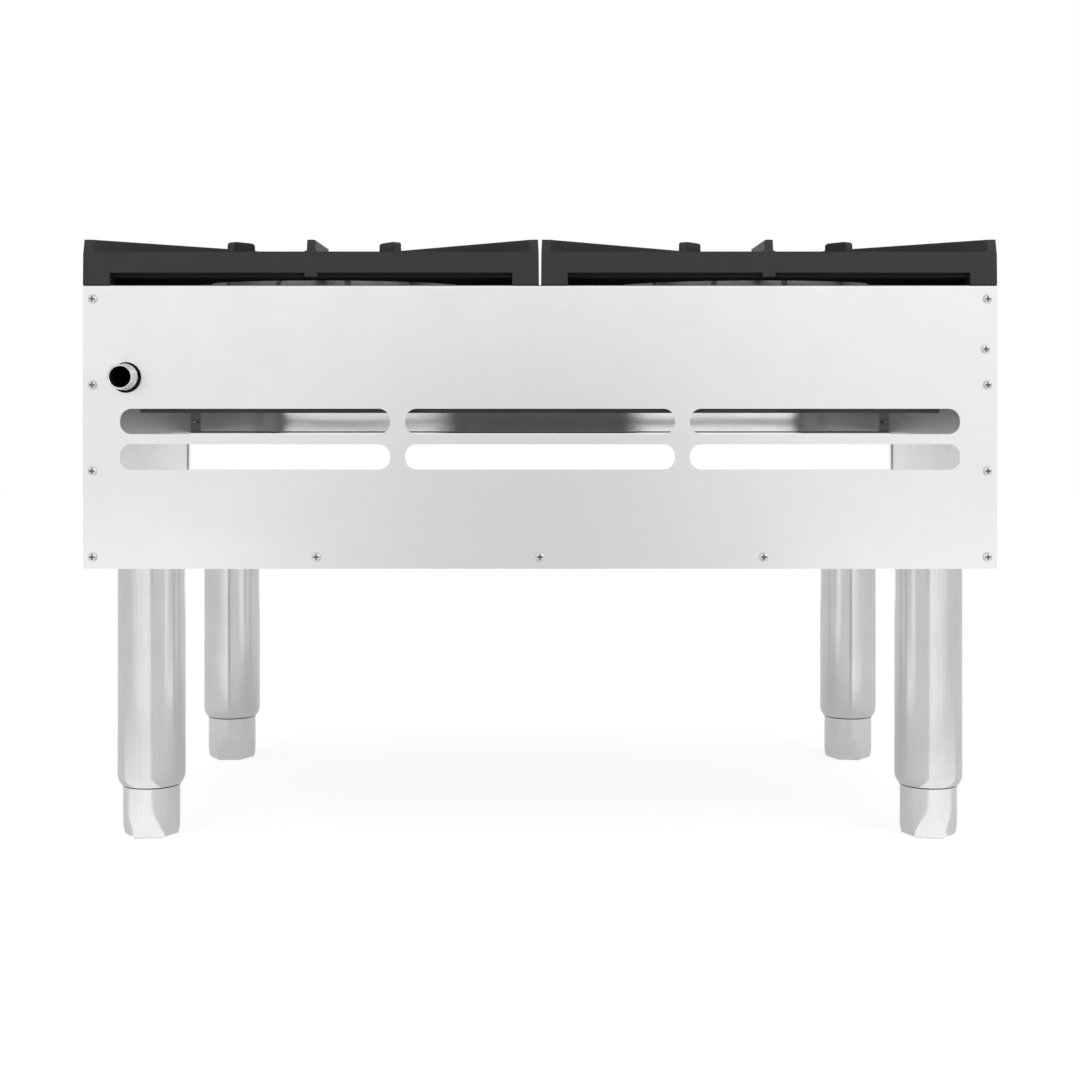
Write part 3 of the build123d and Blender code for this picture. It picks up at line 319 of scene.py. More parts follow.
@dataclass(frozen=True)
class SandCasting(Finish):
    """Sand-cast iron: a pebbled skin, duller on its tops than in its hollows.

    Attributes:
        grain_mm: size of the sand's print.
        grain_depth_mm: its depth.
        grain_strength: how strongly it shows.
        lump_mm: size of the broader unevenness.
        lump_depth_mm: its depth.
        lump_strength: how strongly it shows.
        edge_round_mm: how softly the edges are rounded.
        smoother: how much the roughness falls in the skin's hollows.
        rougher: how much it rises on its tops.
    """

    grain_mm: float = 1.1
    grain_depth_mm: float = 0.12
    grain_strength: float = 0.8
    lump_mm: float = 14.0
    lump_depth_mm: float = 0.36
    lump_strength: float = 0.6
    edge_round_mm: float = 0.9
    smoother: float = 0.06
    rougher: float = 0.08

    def build(self) -> bpy.types.Material:
        """Fine and broad bumps on rounded edges, with a blotchy tone.

        Returns:
            The material.
        """
        material, tree, shader = self.start()
        grain = self.blotches(tree, self.grain_mm, detail=4.0)
        lumps = self.blotches(tree, self.lump_mm, detail=3.0)
        both = add_node(tree, "ShaderNodeMix", inputs={"Factor": 0.5, 2: grain, 3: lumps})
        self.tone(tree, shader, both.outputs[0])
        self.roughen(tree, shader, grain, self.roughness - self.smoother, self.roughness + self.rougher)
        rounded = add_node(tree, "ShaderNodeBevel", {"samples": 4}, {"Radius": self.edge_round_mm * MM})
        broad = add_node(tree, "ShaderNodeBump", inputs={
            "Height": lumps, "Strength": self.lump_strength, "Distance": self.lump_depth_mm * MM,
            "Normal": rounded.outputs["Normal"]})
        fine = add_node(tree, "ShaderNodeBump", inputs={
            "Height": grain, "Strength": self.grain_strength, "Distance": self.grain_depth_mm * MM,
            "Normal": broad.outputs["Normal"]})
        tree.links.new(fine.outputs["Normal"], shader.inputs["Normal"])
        return material


@dataclass(frozen=True)
class MachinedMetal(Finish):
    """Turned, drawn or plated small metal parts.

    Attributes:
        mark_mm: size of the tarnish or handling marks.
        tool_mm: pitch of the tool marks.
        tool_depth_mm: their depth.
        smoother: share of the roughness that clean spots keep.
        rougher: share that tarnished spots have.
    """

    mark_mm: float = 9.0
    tool_mm: float = 0.6
    tool_depth_mm: float = 0.006
    smoother: float = 0.8
    rougher: float = 1.25

    def build(self) -> bpy.types.Material:
        """Marks feed tone and roughness; short tool marks feed the bump.

        Returns:
            The material.
        """
        material, tree, shader = self.start()
        marks = self.blotches(tree, self.mark_mm, detail=4.0)
        self.tone(tree, shader, marks)
        self.roughen(tree, shader, marks, self.roughness * self.smoother, self.roughness * self.rougher)
        tool = self.blotches(tree, self.tool_mm, detail=2.0)
        bump = add_node(tree, "ShaderNodeBump", inputs={
            "Height": tool, "Strength": 1.0, "Distance": self.tool_depth_mm * MM})
        tree.links.new(bump.outputs["Normal"], shader.inputs["Normal"])
        return material


@dataclass(frozen=True)
class MouldedPlastic(Finish):
    """Pressed phenolic: a fine spark-eroded grain under a soft sheen.

    Attributes:
        grain_mm: size of the mould's grain.
        grain_depth_mm: its depth.
        grain_strength: how strongly it shows.
        mark_mm: size of the rubbed and the dull spots.
        smoother: how much the roughness falls on the rubbed spots.
        rougher: how much it rises on the dull ones.
    """

    grain_mm: float = 0.35
    grain_depth_mm: float = 0.02
    grain_strength: float = 0.7
    mark_mm: float = 12.0
    smoother: float = 0.05
    rougher: float = 0.08

    def build(self) -> bpy.types.Material:
        """Grain feeds the bump; broader spots feed tone and roughness.

        Returns:
            The material.
        """
        material, tree, shader = self.start()
        grain = self.blotches(tree, self.grain_mm, detail=2.0)
        marks = self.blotches(tree, self.mark_mm, detail=3.0)
        self.tone(tree, shader, marks)
        self.roughen(tree, shader, marks, self.roughness - self.smoother, self.roughness + self.rougher)
        bump = add_node(tree, "ShaderNodeBump", inputs={
            "Height": grain, "Strength": self.grain_strength, "Distance": self.grain_depth_mm * MM})
        tree.links.new(bump.outputs["Normal"], shader.inputs["Normal"])
        return material


# --- finishes of this range ------------------------------------------------------
# Ground stainless sheet: long faint streaks and a soft grey sheen.
GROUND_STAINLESS = GroundSheet("ground_stainless_sheet", "#EAEAEA", "#E5E5E5", 0.36,
                               streak_depth_mm=0.0016, wave_depth_mm=0.3, spread=0.05)
# The same sheet, ground upright, on the ends.
GROUND_STAINLESS_ENDS = GroundSheet("ground_stainless_ends", "#E6E6E7", "#DEDEDF", 0.38,
                                    axis=GrainAxis.ALONG_Z, streak_depth_mm=0.002, wave_depth_mm=0.3,
                                    spread=0.05)
# The ends' inner sides: the same sheet, with painted shade above the drip tray, where the tray and the rails
# shade them.
ENDS_SHADED_ABOVE_TRAY = SheetShadedAboveTray("heat_tinted_stainless_ends", "#E6E6E7", "#DEDEDF", 0.38,
                                   axis=GrainAxis.ALONG_Z, streak_depth_mm=0.002, wave_depth_mm=0.3,
                                   spread=0.05)
# The dull mill side of the same sheet, made darker as painted shade: the rear panel's inner side, in its
# narrow shaded cavity, and the screws' recesses.
MILL_SIDE_AND_RECESS_SHADE = GroundSheet("mill_side_stainless_sheet", "#8E8F91", "#7C7D80", 0.48,
                                  streak_length_mm=8.0, streak_depth_mm=0.002)
# Mirror-polished stainless front: clear, slightly wavy reflections.
POLISHED_STAINLESS = GroundSheet("polished_stainless_sheet", "#E4E4E4", "#DCDCDD", 0.08,
                                 streak_depth_mm=0.0004, wave_mm=90.0, wave_depth_mm=0.2, spread=0.03)
# Aluminised steel inside: dull, milky and slightly mottled.
ALUMINISED_STEEL = GroundSheet("aluminised_steel_sheet", "#B4B6B8", "#9C9EA1", 0.46,
                               streak_length_mm=6.0, streak_depth_mm=0.003)
# Polished stainless tube: upright streaks that draw the light into bands.
LEG_TUBE = GroundSheet("polished_stainless_tube", "#DEDEDE", "#D2D2D3", 0.16, axis=GrainAxis.ALONG_Z,
                       streak_mm=0.7, streak_depth_mm=0.002, wave_mm=120.0, wave_depth_mm=0.1,
                       spread=0.05)
# Turned stainless foot: brighter than the tube, polished upright in short streaks.
TURNED_FOOT = GroundSheet("turned_stainless_foot", "#E8E8E8", "#DDDDDE", 0.22, axis=GrainAxis.ALONG_Z,
                          streak_mm=0.8, streak_length_mm=16.0, streak_depth_mm=0.0015, wave_depth_mm=0.05,
                          spread=0.05)
# Sand-cast iron with baked black enamel: pebbled, dark and half matt.
BLACK_CASTING = SandCasting("sand_cast_iron_black_enamel", "#1E1E1F", "#161617", 0.38, metallic=0.0)
# Low inner faces of the top grates: painted shade, dull and nearly black, for the shadow under the rails.
GRATE_INNER_SHADE = SandCasting("sooted_cast_iron", "#0D0D0D", "#070707", 0.85, metallic=0.0)
# Bare sand-cast iron that has been heated: brown-grey and rough.
GREY_CASTING = SandCasting("sand_cast_iron_bare", "#96938F", "#6B6966", 0.54, metallic=0.7,
                           grain_mm=1.4)
# Dark steel as painted shade: the drip tray's rear wall, in shadow behind the slots, and the legs' cut ends
# under the rolled-in lip.
DARK_STEEL_PAINTED_SHADE = GroundSheet("heat_darkened_steel_sheet", "#58585A", "#434345", 0.40,
                                  streak_length_mm=8.0, streak_depth_mm=0.003)
# Turned brass: warm, with soft tool marks.
TURNED_BRASS = MachinedMetal("turned_brass", "#CDB06C", "#A98C4C", 0.28)
# Chrome-plated steel: bright and clean.
CHROME_PLATE = MachinedMetal("chrome_plated_steel", "#E4E5E7", "#C9CBCE", 0.12)
# Zinc-plated steel pipe: bright and pale, faintly spotted.
ZINC_PIPE = MachinedMetal("zinc_plated_pipe", "#EDEDED", "#DCDDDE", 0.20)
# Black malleable iron pipe: dark scale with a dull shine.
BLACK_PIPE = MachinedMetal("black_iron_pipe", "#3A3B3D", "#2A2A2C", 0.46, metallic=0.8)
# Drawn aluminium tube: pale and satin.
DRAWN_ALUMINIUM = MachinedMetal("drawn_aluminium_tube", "#D4D6D8", "#BBBEC1", 0.30)
# Zinc-plated nuts and inserts.
ZINC_STEEL = MachinedMetal("zinc_plated_steel", "#C6C8CA", "#A7A9AD", 0.32)
# Pressed phenolic knob: black with a soft sheen.
PHENOLIC = MouldedPlastic("pressed_phenolic", "#1D1D1E", "#161617", 0.38, metallic=0.0)


# --- meshes ----------------------------------------------------------------------
def add_mesh(name: str, points: Grid, faces: list[list[int]], finish: bpy.types.Material,
             smooth: bool = True) -> bpy.types.Object:
    """Puts points and faces into a new object with its normals outwards.

    Args:
        name: the object's name.
        points: vertices, one to a row, in metres.
        faces: vertex indices of each face.
        finish: its material.
        smooth: whether its faces are shaded smooth.

    Returns:
        The new object.
    """
    mesh = bpy.data.meshes.new(name)
    mesh.from_pydata(points.tolist(), [], faces)
    mesh.polygons.foreach_set("use_smooth", np.full(len(mesh.polygons), smooth))
    mesh.materials.append(finish)
    edit = bmesh.new()
    edit.from_mesh(mesh)
    bmesh.ops.recalc_face_normals(edit, faces=edit.faces)
    edit.to_mesh(mesh)
    edit.free()
    mesh.update()
    piece = bpy.data.objects.new(name, mesh)
    bpy.context.scene.collection.objects.link(piece)
    return piece


def read(items: bpy.types.bpy_prop_collection, name: str, width: int = 1, kind: type = float) -> Grid:
    """Reads one property of every vertex, edge, loop or polygon of a mesh.

    Args:
        items: the mesh's items.
        name: the property's name.
        width: how many numbers an item has.
        kind: type of the numbers.

    Returns:
        One number to an item, or one row where an item has several.
    """
    values = np.empty(width * len(items), dtype=kind)
    items.foreach_get(name, values)
    return values.reshape(-1, width) if width > 1 else values


def paint(mesh: bpy.types.Mesh, chosen: Grid, finish: bpy.types.Material) -> None:
    """Gives some faces of a mesh another finish.

    Args:
        mesh: the mesh.
        chosen: for each face, whether it gets the finish.
        finish: the material.
    """
    mesh.materials.append(finish)
    slots = read(mesh.polygons, "material_index", kind=np.int32)
    slots[chosen] = len(mesh.materials) - 1
    mesh.polygons.foreach_set("material_index", slots)


def turned(radius: Grid, height: Grid) -> Surface:
    """Surface turned round the Z axis from grids of radius and height.

    A point of row i and column j lies at (r cos a, r sin a, h), with r and h from
    the grids and a = 2 pi j / columns. A first or last row of zero radius closes
    to a pole; otherwise the last row joins the first.

    Args:
        radius: radius of each point, rows along the outline, columns round it.
        height: height of each point.

    Returns:
        Points and faces.
    """
    sides = radius.shape[1]
    angle = 2 * np.pi * np.arange(sides) / sides
    poles = [row for row in (0, -1) if np.allclose(radius[row], 0.0)]
    body = slice(1 if 0 in poles else 0, -1 if -1 in poles else None)
    rings = radius[body]
    points = np.stack([rings * np.cos(angle), rings * np.sin(angle), height[body]], axis=-1).reshape(-1, 3)
    count = len(rings)
    row, side = np.meshgrid(np.arange(count - 1 if poles else count), np.arange(sides), indexing="ij")
    after = (side + 1) % sides
    below = (row + 1) % count
    quads = [row * sides + side, row * sides + after, below * sides + after, below * sides + side]
    faces = np.stack(quads, -1).reshape(-1, 4).tolist()
    edge = np.arange(sides)
    for row in poles:
        start = 0 if row == 0 else (count - 1) * sides
        fan = np.stack([start + edge, start + (edge + 1) % sides, np.full(sides, len(points))], -1)
        points = np.vstack([points, [0.0, 0.0, height[row].mean()]])
        faces += fan.tolist()
    return points, faces


def outline_grid(outline: Sequence[Point], sides: int) -> tuple[Grid, Grid]:
    """Repeats an outline of (radius, height) points round an axis.

    Args:
        outline: the points, in metres.
        sides: columns round the axis.

    Returns:
        Grids of radius and height.
    """
    rows = np.array(outline)
    return np.repeat(rows[:, :1], sides, axis=1), np.repeat(rows[:, 1:], sides, axis=1)


def arc_through(first: Point, middle: Point, last: Point, count: int) -> list[Point]:
    """Points on the circle through three points, from the first to the last.

    The centre c solves 2 (b - a) . c = |b|^2 - |a|^2 and 2 (d - a) . c = |d|^2 - |a|^2.

    Args:
        first: start of the arc.
        middle: a point on it.
        last: its end.
        count: number of points.

    Returns:
        The points.
    """
    a, b, d = (np.array(point) for point in (first, middle, last))
    centre = np.linalg.solve(2 * np.array([b - a, d - a]), [b @ b - a @ a, d @ d - a @ a])
    reach = np.linalg.norm(a - centre)
    ends = [np.arctan2(point[1] - centre[1], point[0] - centre[0]) for point in (a, d)]
    turn = (ends[1] - ends[0] + np.pi) % (2 * np.pi) - np.pi
    angle = ends[0] + turn * np.linspace(0, 1, count)
    return list(zip(centre[0] + reach * np.cos(angle), centre[1] + reach * np.sin(angle)))


def screw_thread(height: Grid, pitch: float, depth: float) -> Grid:
    """Depth of a V thread below its crests, at every point of a turned surface.

    The phase is height / pitch - angle / (2 pi); the groove is a triangle wave of
    it, 0 at a crest and `depth` at a root.

    Args:
        height: grid of heights along the axis.
        pitch: advance of one turn.
        depth: depth of the groove.

    Returns:
        Grid of how much smaller the radius is.
    """
    turn = np.arange(height.shape[1]) / height.shape[1]
    phase = (height / pitch - turn) % 1.0
    return depth * np.abs(2 * phase - 1)


def repeated(surface: Surface, places: Grid, normal: tuple[int, int, int]) -> Surface:
    """Copies a surface to several places, with its +Z axis along a normal.

    A point (x, y, z) goes to place + x (n x up) + y up + z n, with n the normal.

    Args:
        surface: points and faces round the origin.
        places: where each copy's origin goes, one to a row.
        normal: unit vector along X or Y.

    Returns:
        Points and faces of all copies.
    """
    points, faces = surface
    out, up = np.array(normal, dtype=float), np.array([0.0, 0.0, 1.0])
    axes = np.stack([np.cross(out, up), up, out])
    moved = ((points @ axes)[None] + places[:, None]).reshape(-1, 3)
    shifts = np.arange(len(places)) * len(points)
    return moved, [[index + shift for index in face] for shift in shifts for face in faces]


# --- sub-assemblies ----------------------------------------------------------------
@dataclass
class Palette:
    """Builds each finish once and hands it out.

    Attributes:
        built: the materials that are built, by name.
    """

    built: dict[str, bpy.types.Material] = field(default_factory=dict)

    def __call__(self, finish: Finish) -> bpy.types.Material:
        """Hands out a finish's material, built on first use.

        Args:
            finish: the finish.

        Returns:
            Its material.
        """
        if finish.name not in self.built:
            self.built[finish.name] = finish.build()
        return self.built[finish.name]


@dataclass
class Dressing:
    """Finishes for the CAD nodes, by face where one sheet has two.

    Attributes:
        palette: where materials come from.
        finishes: finish by the start of the node's name; the first that fits counts.
        facing: how far a face's normal must point one way to count as facing it.
        tray_front: how far in front of the middle the drip tray's bright front begins.
    """

    palette: Palette
    finishes: dict[str, Finish] = field(default_factory=lambda: {
        "rear_panel_screws": CHROME_PLATE,
        "side_panel_screws": CHROME_PLATE,
        "rear_panel": GROUND_STAINLESS,
        "side_panel": GROUND_STAINLESS_ENDS,
        "control_panel": POLISHED_STAINLESS,
        "front_lower_rail": POLISHED_STAINLESS,
        "drip_tray": ALUMINISED_STEEL,
        "center_divider": ALUMINISED_STEEL,
        "base_channel_front": GROUND_STAINLESS,
        "base_channel_rear": ALUMINISED_STEEL,
        "burner_support": ALUMINISED_STEEL,
        "tray_runner": ALUMINISED_STEEL,
        "grate": BLACK_CASTING,
        "outer_burner": GREY_CASTING,
        "inner_burner": GREY_CASTING,
        "air_shutter": ALUMINISED_STEEL,
        "gas_valve": TURNED_BRASS,
        "valve_stem": TURNED_BRASS,
        "orifice_hoods": TURNED_BRASS,
        "pilot_valves": TURNED_BRASS,
        "pilot_tips": TURNED_BRASS,
        "pilot_tubes": DRAWN_ALUMINIUM,
        "knob_bezels": CHROME_PLATE,
        "knob": PHENOLIC,
        "inlet_pipe": ZINC_PIPE,
        "inlet_elbow": BLACK_PIPE,
        "manifold": BLACK_PIPE,
        "leg_plates": ALUMINISED_STEEL,
        "leg_nuts": ZINC_STEEL,
        "leg": LEG_TUBE,
        "foot_inserts": ZINC_STEEL,
        "foot": TURNED_FOOT,
    })
    facing: float = 0.5
    tray_front: float = 0.27

    def repaint(self, node: str, finish: Finish, source: str, direction: tuple[int, int, int],
                limit: float) -> None:
        """Gives some faces of a node another finish.

        Args:
            node: the CAD node.
            finish: the finish of the chosen faces.
            source: what is read from a face, "normal" or "center".
            direction: the direction along which it is measured.
            limit: faces that measure more than this are chosen.
        """
        mesh = frame["nodes"][node].data
        chosen = read(mesh.polygons, source, 3) @ np.array(direction) > limit
        paint(mesh, chosen, self.palette(finish))

    def dress(self) -> int:
        """Gives each node the finish whose key its name starts with, then paints single faces.

        Returns:
            How many nodes were dressed.
        """
        for name, node in frame["nodes"].items():
            key = next(start for start in self.finishes if name.startswith(start))
            node.data.materials.clear()
            node.data.materials.append(self.palette(self.finishes[key]))
        # The rear panel's inner side: dull mill side, darkened with painted shade.
        self.repaint("rear_panel", MILL_SIDE_AND_RECESS_SHADE, "normal", (0, -1, 0), self.facing)
        for node in ("side_panel_left", "side_panel_right"):
            low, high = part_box(node)
            inwards = -1 if low[0] + high[0] > 0 else 1
            # The ends' inner faces get painted shade above the drip tray.
            self.repaint(node, ENDS_SHADED_ABOVE_TRAY, "normal", (inwards, 0, 0), self.facing)
        # The drip tray's rear wall gets painted shade.
        self.repaint("drip_tray", DARK_STEEL_PAINTED_SHADE, "normal", (0, 1, 0), self.facing)
        self.repaint("drip_tray", GROUND_STAINLESS, "center", (0, -1, 0), self.tray_front)
        return len(frame["nodes"])


@dataclass
class PanHeadScrews:
    """Pan-head screws with a cross recess, in the rear panel and in both ends.

    Attributes:
        palette: where materials come from.
        head_radius: radius of the head.
        head_height: height of the head.
        shank_radius: radius over the thread.
        shank_length: length below the head.
        pitch: thread pitch.
        thread_depth: depth of the thread.
        point: length of the point under the thread.
        recess_reach: half length of each arm of the recess.
        recess_width: half width of an arm.
        recess_depth: depth of the recess.
        recess_wall: how wide the recess's sloping walls are.
        sides: columns of points round the screw.
        recess_rows: rows of points from its middle to the recess's reach.
        rim_rows: rows from there to the head's edge.
        steps: rows to one turn of the thread.
        edge_rows: screws in each outer column.
        edge_inset: from the rear panel's upright edges to the outer columns.
        top_inset: from its upper edge to the top row.
        bottom_inset: from its lower edge to the bottom row.
        odd_drop: how far under the panel's top the odd screw sits.
        odd_inset: how much nearer the middle it is than its column.
        sheet: thickness of the control panel's sheet.
        end_inset: from the inside of that sheet to the screws in the ends.
        end_drop: from the upper edge, and from the control panel's lower edge, to two of
            them; the third is level with the front lower rail.
    """

    palette: Palette
    head_radius: float = 4.6 * MM
    head_height: float = 2.6 * MM
    shank_radius: float = 1.9 * MM
    shank_length: float = 6.5 * MM
    pitch: float = 1.1 * MM
    thread_depth: float = 0.3 * MM
    point: float = 1.0 * MM
    recess_reach: float = 2.7 * MM
    recess_width: float = 0.75 * MM
    recess_depth: float = 2.0 * MM
    recess_wall: float = 0.25 * MM
    sides: int = 64
    recess_rows: int = 18
    rim_rows: int = 7
    steps: int = 6
    edge_rows: int = 4
    edge_inset: float = 9.7 * MM
    top_inset: float = 14.0 * MM
    bottom_inset: float = 12.0 * MM
    odd_drop: float = 64.0 * MM
    odd_inset: float = 2.0 * MM
    sheet: float = 1.2 * MM
    end_inset: float = 17.5 * MM
    end_drop: float = 35.0 * MM

    def surface(self) -> Surface:
        """One screw on the Z axis, head up, the head's underside at zero.

        The head is a flattened ellipse, h (1 - (r / R)^4)^(1/2). The recess lowers
        it where either arm's smoothed mask is above zero.

        Returns:
            Points and faces.
        """
        within = np.linspace(0.0, self.recess_reach, self.recess_rows + 1)
        around = np.linspace(self.recess_reach + 2 * within[1], self.head_radius, self.rim_rows)
        radius = np.concatenate([within, around])
        dome = self.head_height * np.sqrt(np.clip(1 - (radius / self.head_radius) ** 4, 0, 1))
        angle = 2 * np.pi * np.arange(self.sides) / self.sides
        across = np.abs(radius[:, None] * np.cos(angle))
        along = np.abs(radius[:, None] * np.sin(angle))
        arms = [np.clip((self.recess_width - a) / self.recess_wall, 0, 1)
                * np.clip((self.recess_reach - b) / self.recess_wall, 0, 1)
                for a, b in ((across, along), (along, across))]
        top = dome[:, None] - self.recess_depth * np.maximum(*arms)
        depths = np.arange(0.0, self.shank_length - self.point, self.pitch / self.steps)
        shank = np.repeat(-depths[:, None], self.sides, axis=1)
        thread = self.shank_radius - screw_thread(shank, self.pitch, self.thread_depth)
        tip = np.zeros((1, self.sides))
        radii = np.vstack([np.repeat(radius[:, None], self.sides, axis=1), thread, tip])
        heights = np.vstack([top, shank, tip - self.shank_length])
        return turned(radii, heights)

    def place(self, name: str, node: str,
              spots: dict[tuple[int, int, int], list[Triple]]) -> bpy.types.Object:
        """Adds the screws of one CAD node and stands them in for it.

        Args:
            name: the piece's name.
            node: the CAD node that it replaces.
            spots: by the way that the heads face, where each head meets the sheet.

        Returns:
            The new piece.
        """
        surface = self.surface()
        points, faces = np.empty((0, 3)), []
        for normal, places in spots.items():
            moved, more = repeated(surface, np.array(places), normal)
            faces += [[index + len(points) for index in face] for face in more]
            points = np.vstack([points, moved])
        piece = add_mesh(name, points, faces, self.palette(CHROME_PLATE))
        screws = sum(len(places) for places in spots.values())
        # The recesses get painted shade.
        paint(piece.data, np.tile(self.recess_faces(surface), screws), self.palette(MILL_SIDE_AND_RECESS_SHADE))
        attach(piece, "frame")
        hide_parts(node)
        return piece

    def recess_faces(self, surface: Surface) -> Grid:
        """Marks the faces of one screw that lie in its recess, which get painted shade.

        Args:
            surface: points and faces of the screw.

        Returns:
            For each face, whether it lies in the recess.
        """
        points, faces = surface
        middle = np.array([points[list(face)].mean(axis=0) for face in faces])
        small, large = np.sort(np.abs(middle[:, :2]), axis=1).T
        return (middle[:, 2] > 0) & (small < self.recess_width) & (large < self.recess_reach)

    def build(self) -> list[bpy.types.Object]:
        """Places the screws of the rear panel and of the two side panels.

        Returns:
            The two pieces.
        """
        low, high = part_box("rear_panel")
        edge = high[0] - self.edge_inset
        rows = np.linspace(high[2] - self.top_inset, low[2] + self.bottom_inset, self.edge_rows)
        spots = [(side * edge, high[1], z) for side in (1, -1) for z in rows]
        spots += [(column * edge / 2, high[1], rows[-1]) for column in (-1, 0, 1)]
        spots.append((self.odd_inset - edge, high[1], high[2] - self.odd_drop))
        rear = self.place("rear_screws", "rear_panel_screws", {(0, 1, 0): spots})
        panel_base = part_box("control_panel")[0]
        depth = panel_base[1] + self.sheet + self.end_inset
        rail = sum(corner[2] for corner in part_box("front_lower_rail")) / 2
        levels = (high[2] - self.end_drop, panel_base[2] + self.end_drop, rail)
        ends = {(side, 0, 0): [(side * high[0], depth, z) for z in levels] for side in (1, -1)}
        return [rear, self.place("side_screws", "side_panel_screws", ends)]


@dataclass
class GasInlet:
    """Supply pipe with a tapered thread cut on the end behind the panel.

    Attributes:
        palette: where materials come from.
        radius: outside radius of the pipe.
        bore: inside radius.
        thread_length: length of the cut end.
        pitch: thread pitch, 14 turns to the inch.
        thread_depth: depth of the thread.
        taper: loss of radius for each unit of length, 1 in 32.
        lead_in: length of the bevel at the threaded end.
        lead_in_depth: how far that bevel goes in.
        run_out: length over which the thread fades into the plain pipe.
        mouth: depth and width of the bore's bevel.
        inside: how far outside the bore's radius a face still counts as the bore's.
        sides: columns of points round the pipe.
        steps: rows to one turn of the thread.
        centre: X and Z of its axis.
    """

    palette: Palette
    radius: float = 13.35 * MM
    bore: float = 10.45 * MM
    thread_length: float = 20.0 * MM
    pitch: float = 25.4 / 14 * MM
    thread_depth: float = 0.8 * MM
    taper: float = 1 / 32
    lead_in: float = 1.5 * MM
    lead_in_depth: float = 1.1 * MM
    run_out: float = 3.0 * MM
    mouth: Point = (0.8 * MM, 0.7 * MM)
    inside: float = 0.3 * MM
    sides: int = 72
    steps: int = 10
    centre: Point = (0.415, 0.4714)

    def surface(self, length: float) -> Surface:
        """Pipe on the Z axis: threaded end, plain run, plain end and the bore.

        The thread fades out over its last `run_out`, and its first turn is cut off
        by a bevel that is `lead_in_depth` deep at the end.

        Args:
            length: the pipe's length.

        Returns:
            Points and faces.
        """
        along = np.arange(0.0, self.thread_length, self.pitch / self.steps)[:, None]
        height = np.repeat(length - along, self.sides, axis=1)
        crest = self.radius - self.taper * (self.thread_length - along)
        bevel = np.clip(1 - along / self.lead_in, 0, 1) * self.lead_in_depth
        fade = np.clip((self.thread_length - along) / self.run_out, 0, 1)
        cut = crest - np.maximum(screw_thread(height, self.pitch, self.thread_depth) * fade, bevel)
        outline = [(self.radius, length - self.thread_length), (self.radius, 0.0), (self.bore, 0.0),
                   (self.bore, length - self.mouth[0]), (self.bore + self.mouth[1], length)]
        plain = outline_grid(outline, self.sides)
        return turned(np.vstack([cut, plain[0]]), np.vstack([height, plain[1]]))

    def build(self) -> bpy.types.Object:
        """Adds the pipe and paints its bore black as shade, with the finish of black pipe.

        Returns:
            The new piece.
        """
        low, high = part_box("inlet_pipe")
        x, z = self.centre
        points, faces = repeated(self.surface(high[1] - low[1]), np.array([[x, low[1], z]]), (0, 1, 0))
        pipe = add_mesh("gas_inlet_pipe", points, faces, self.palette(ZINC_PIPE))
        # The bore gets painted shade: the dark finish of black pipe.
        off_axis = read(pipe.data.polygons, "center", 3)[:, [0, 2]] - np.array(self.centre)
        in_bore = np.linalg.norm(off_axis, axis=1) < self.bore + self.inside
        paint(pipe.data, in_bore, self.palette(BLACK_PIPE))
        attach(pipe, "frame")
        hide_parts("inlet_pipe")
        return pipe


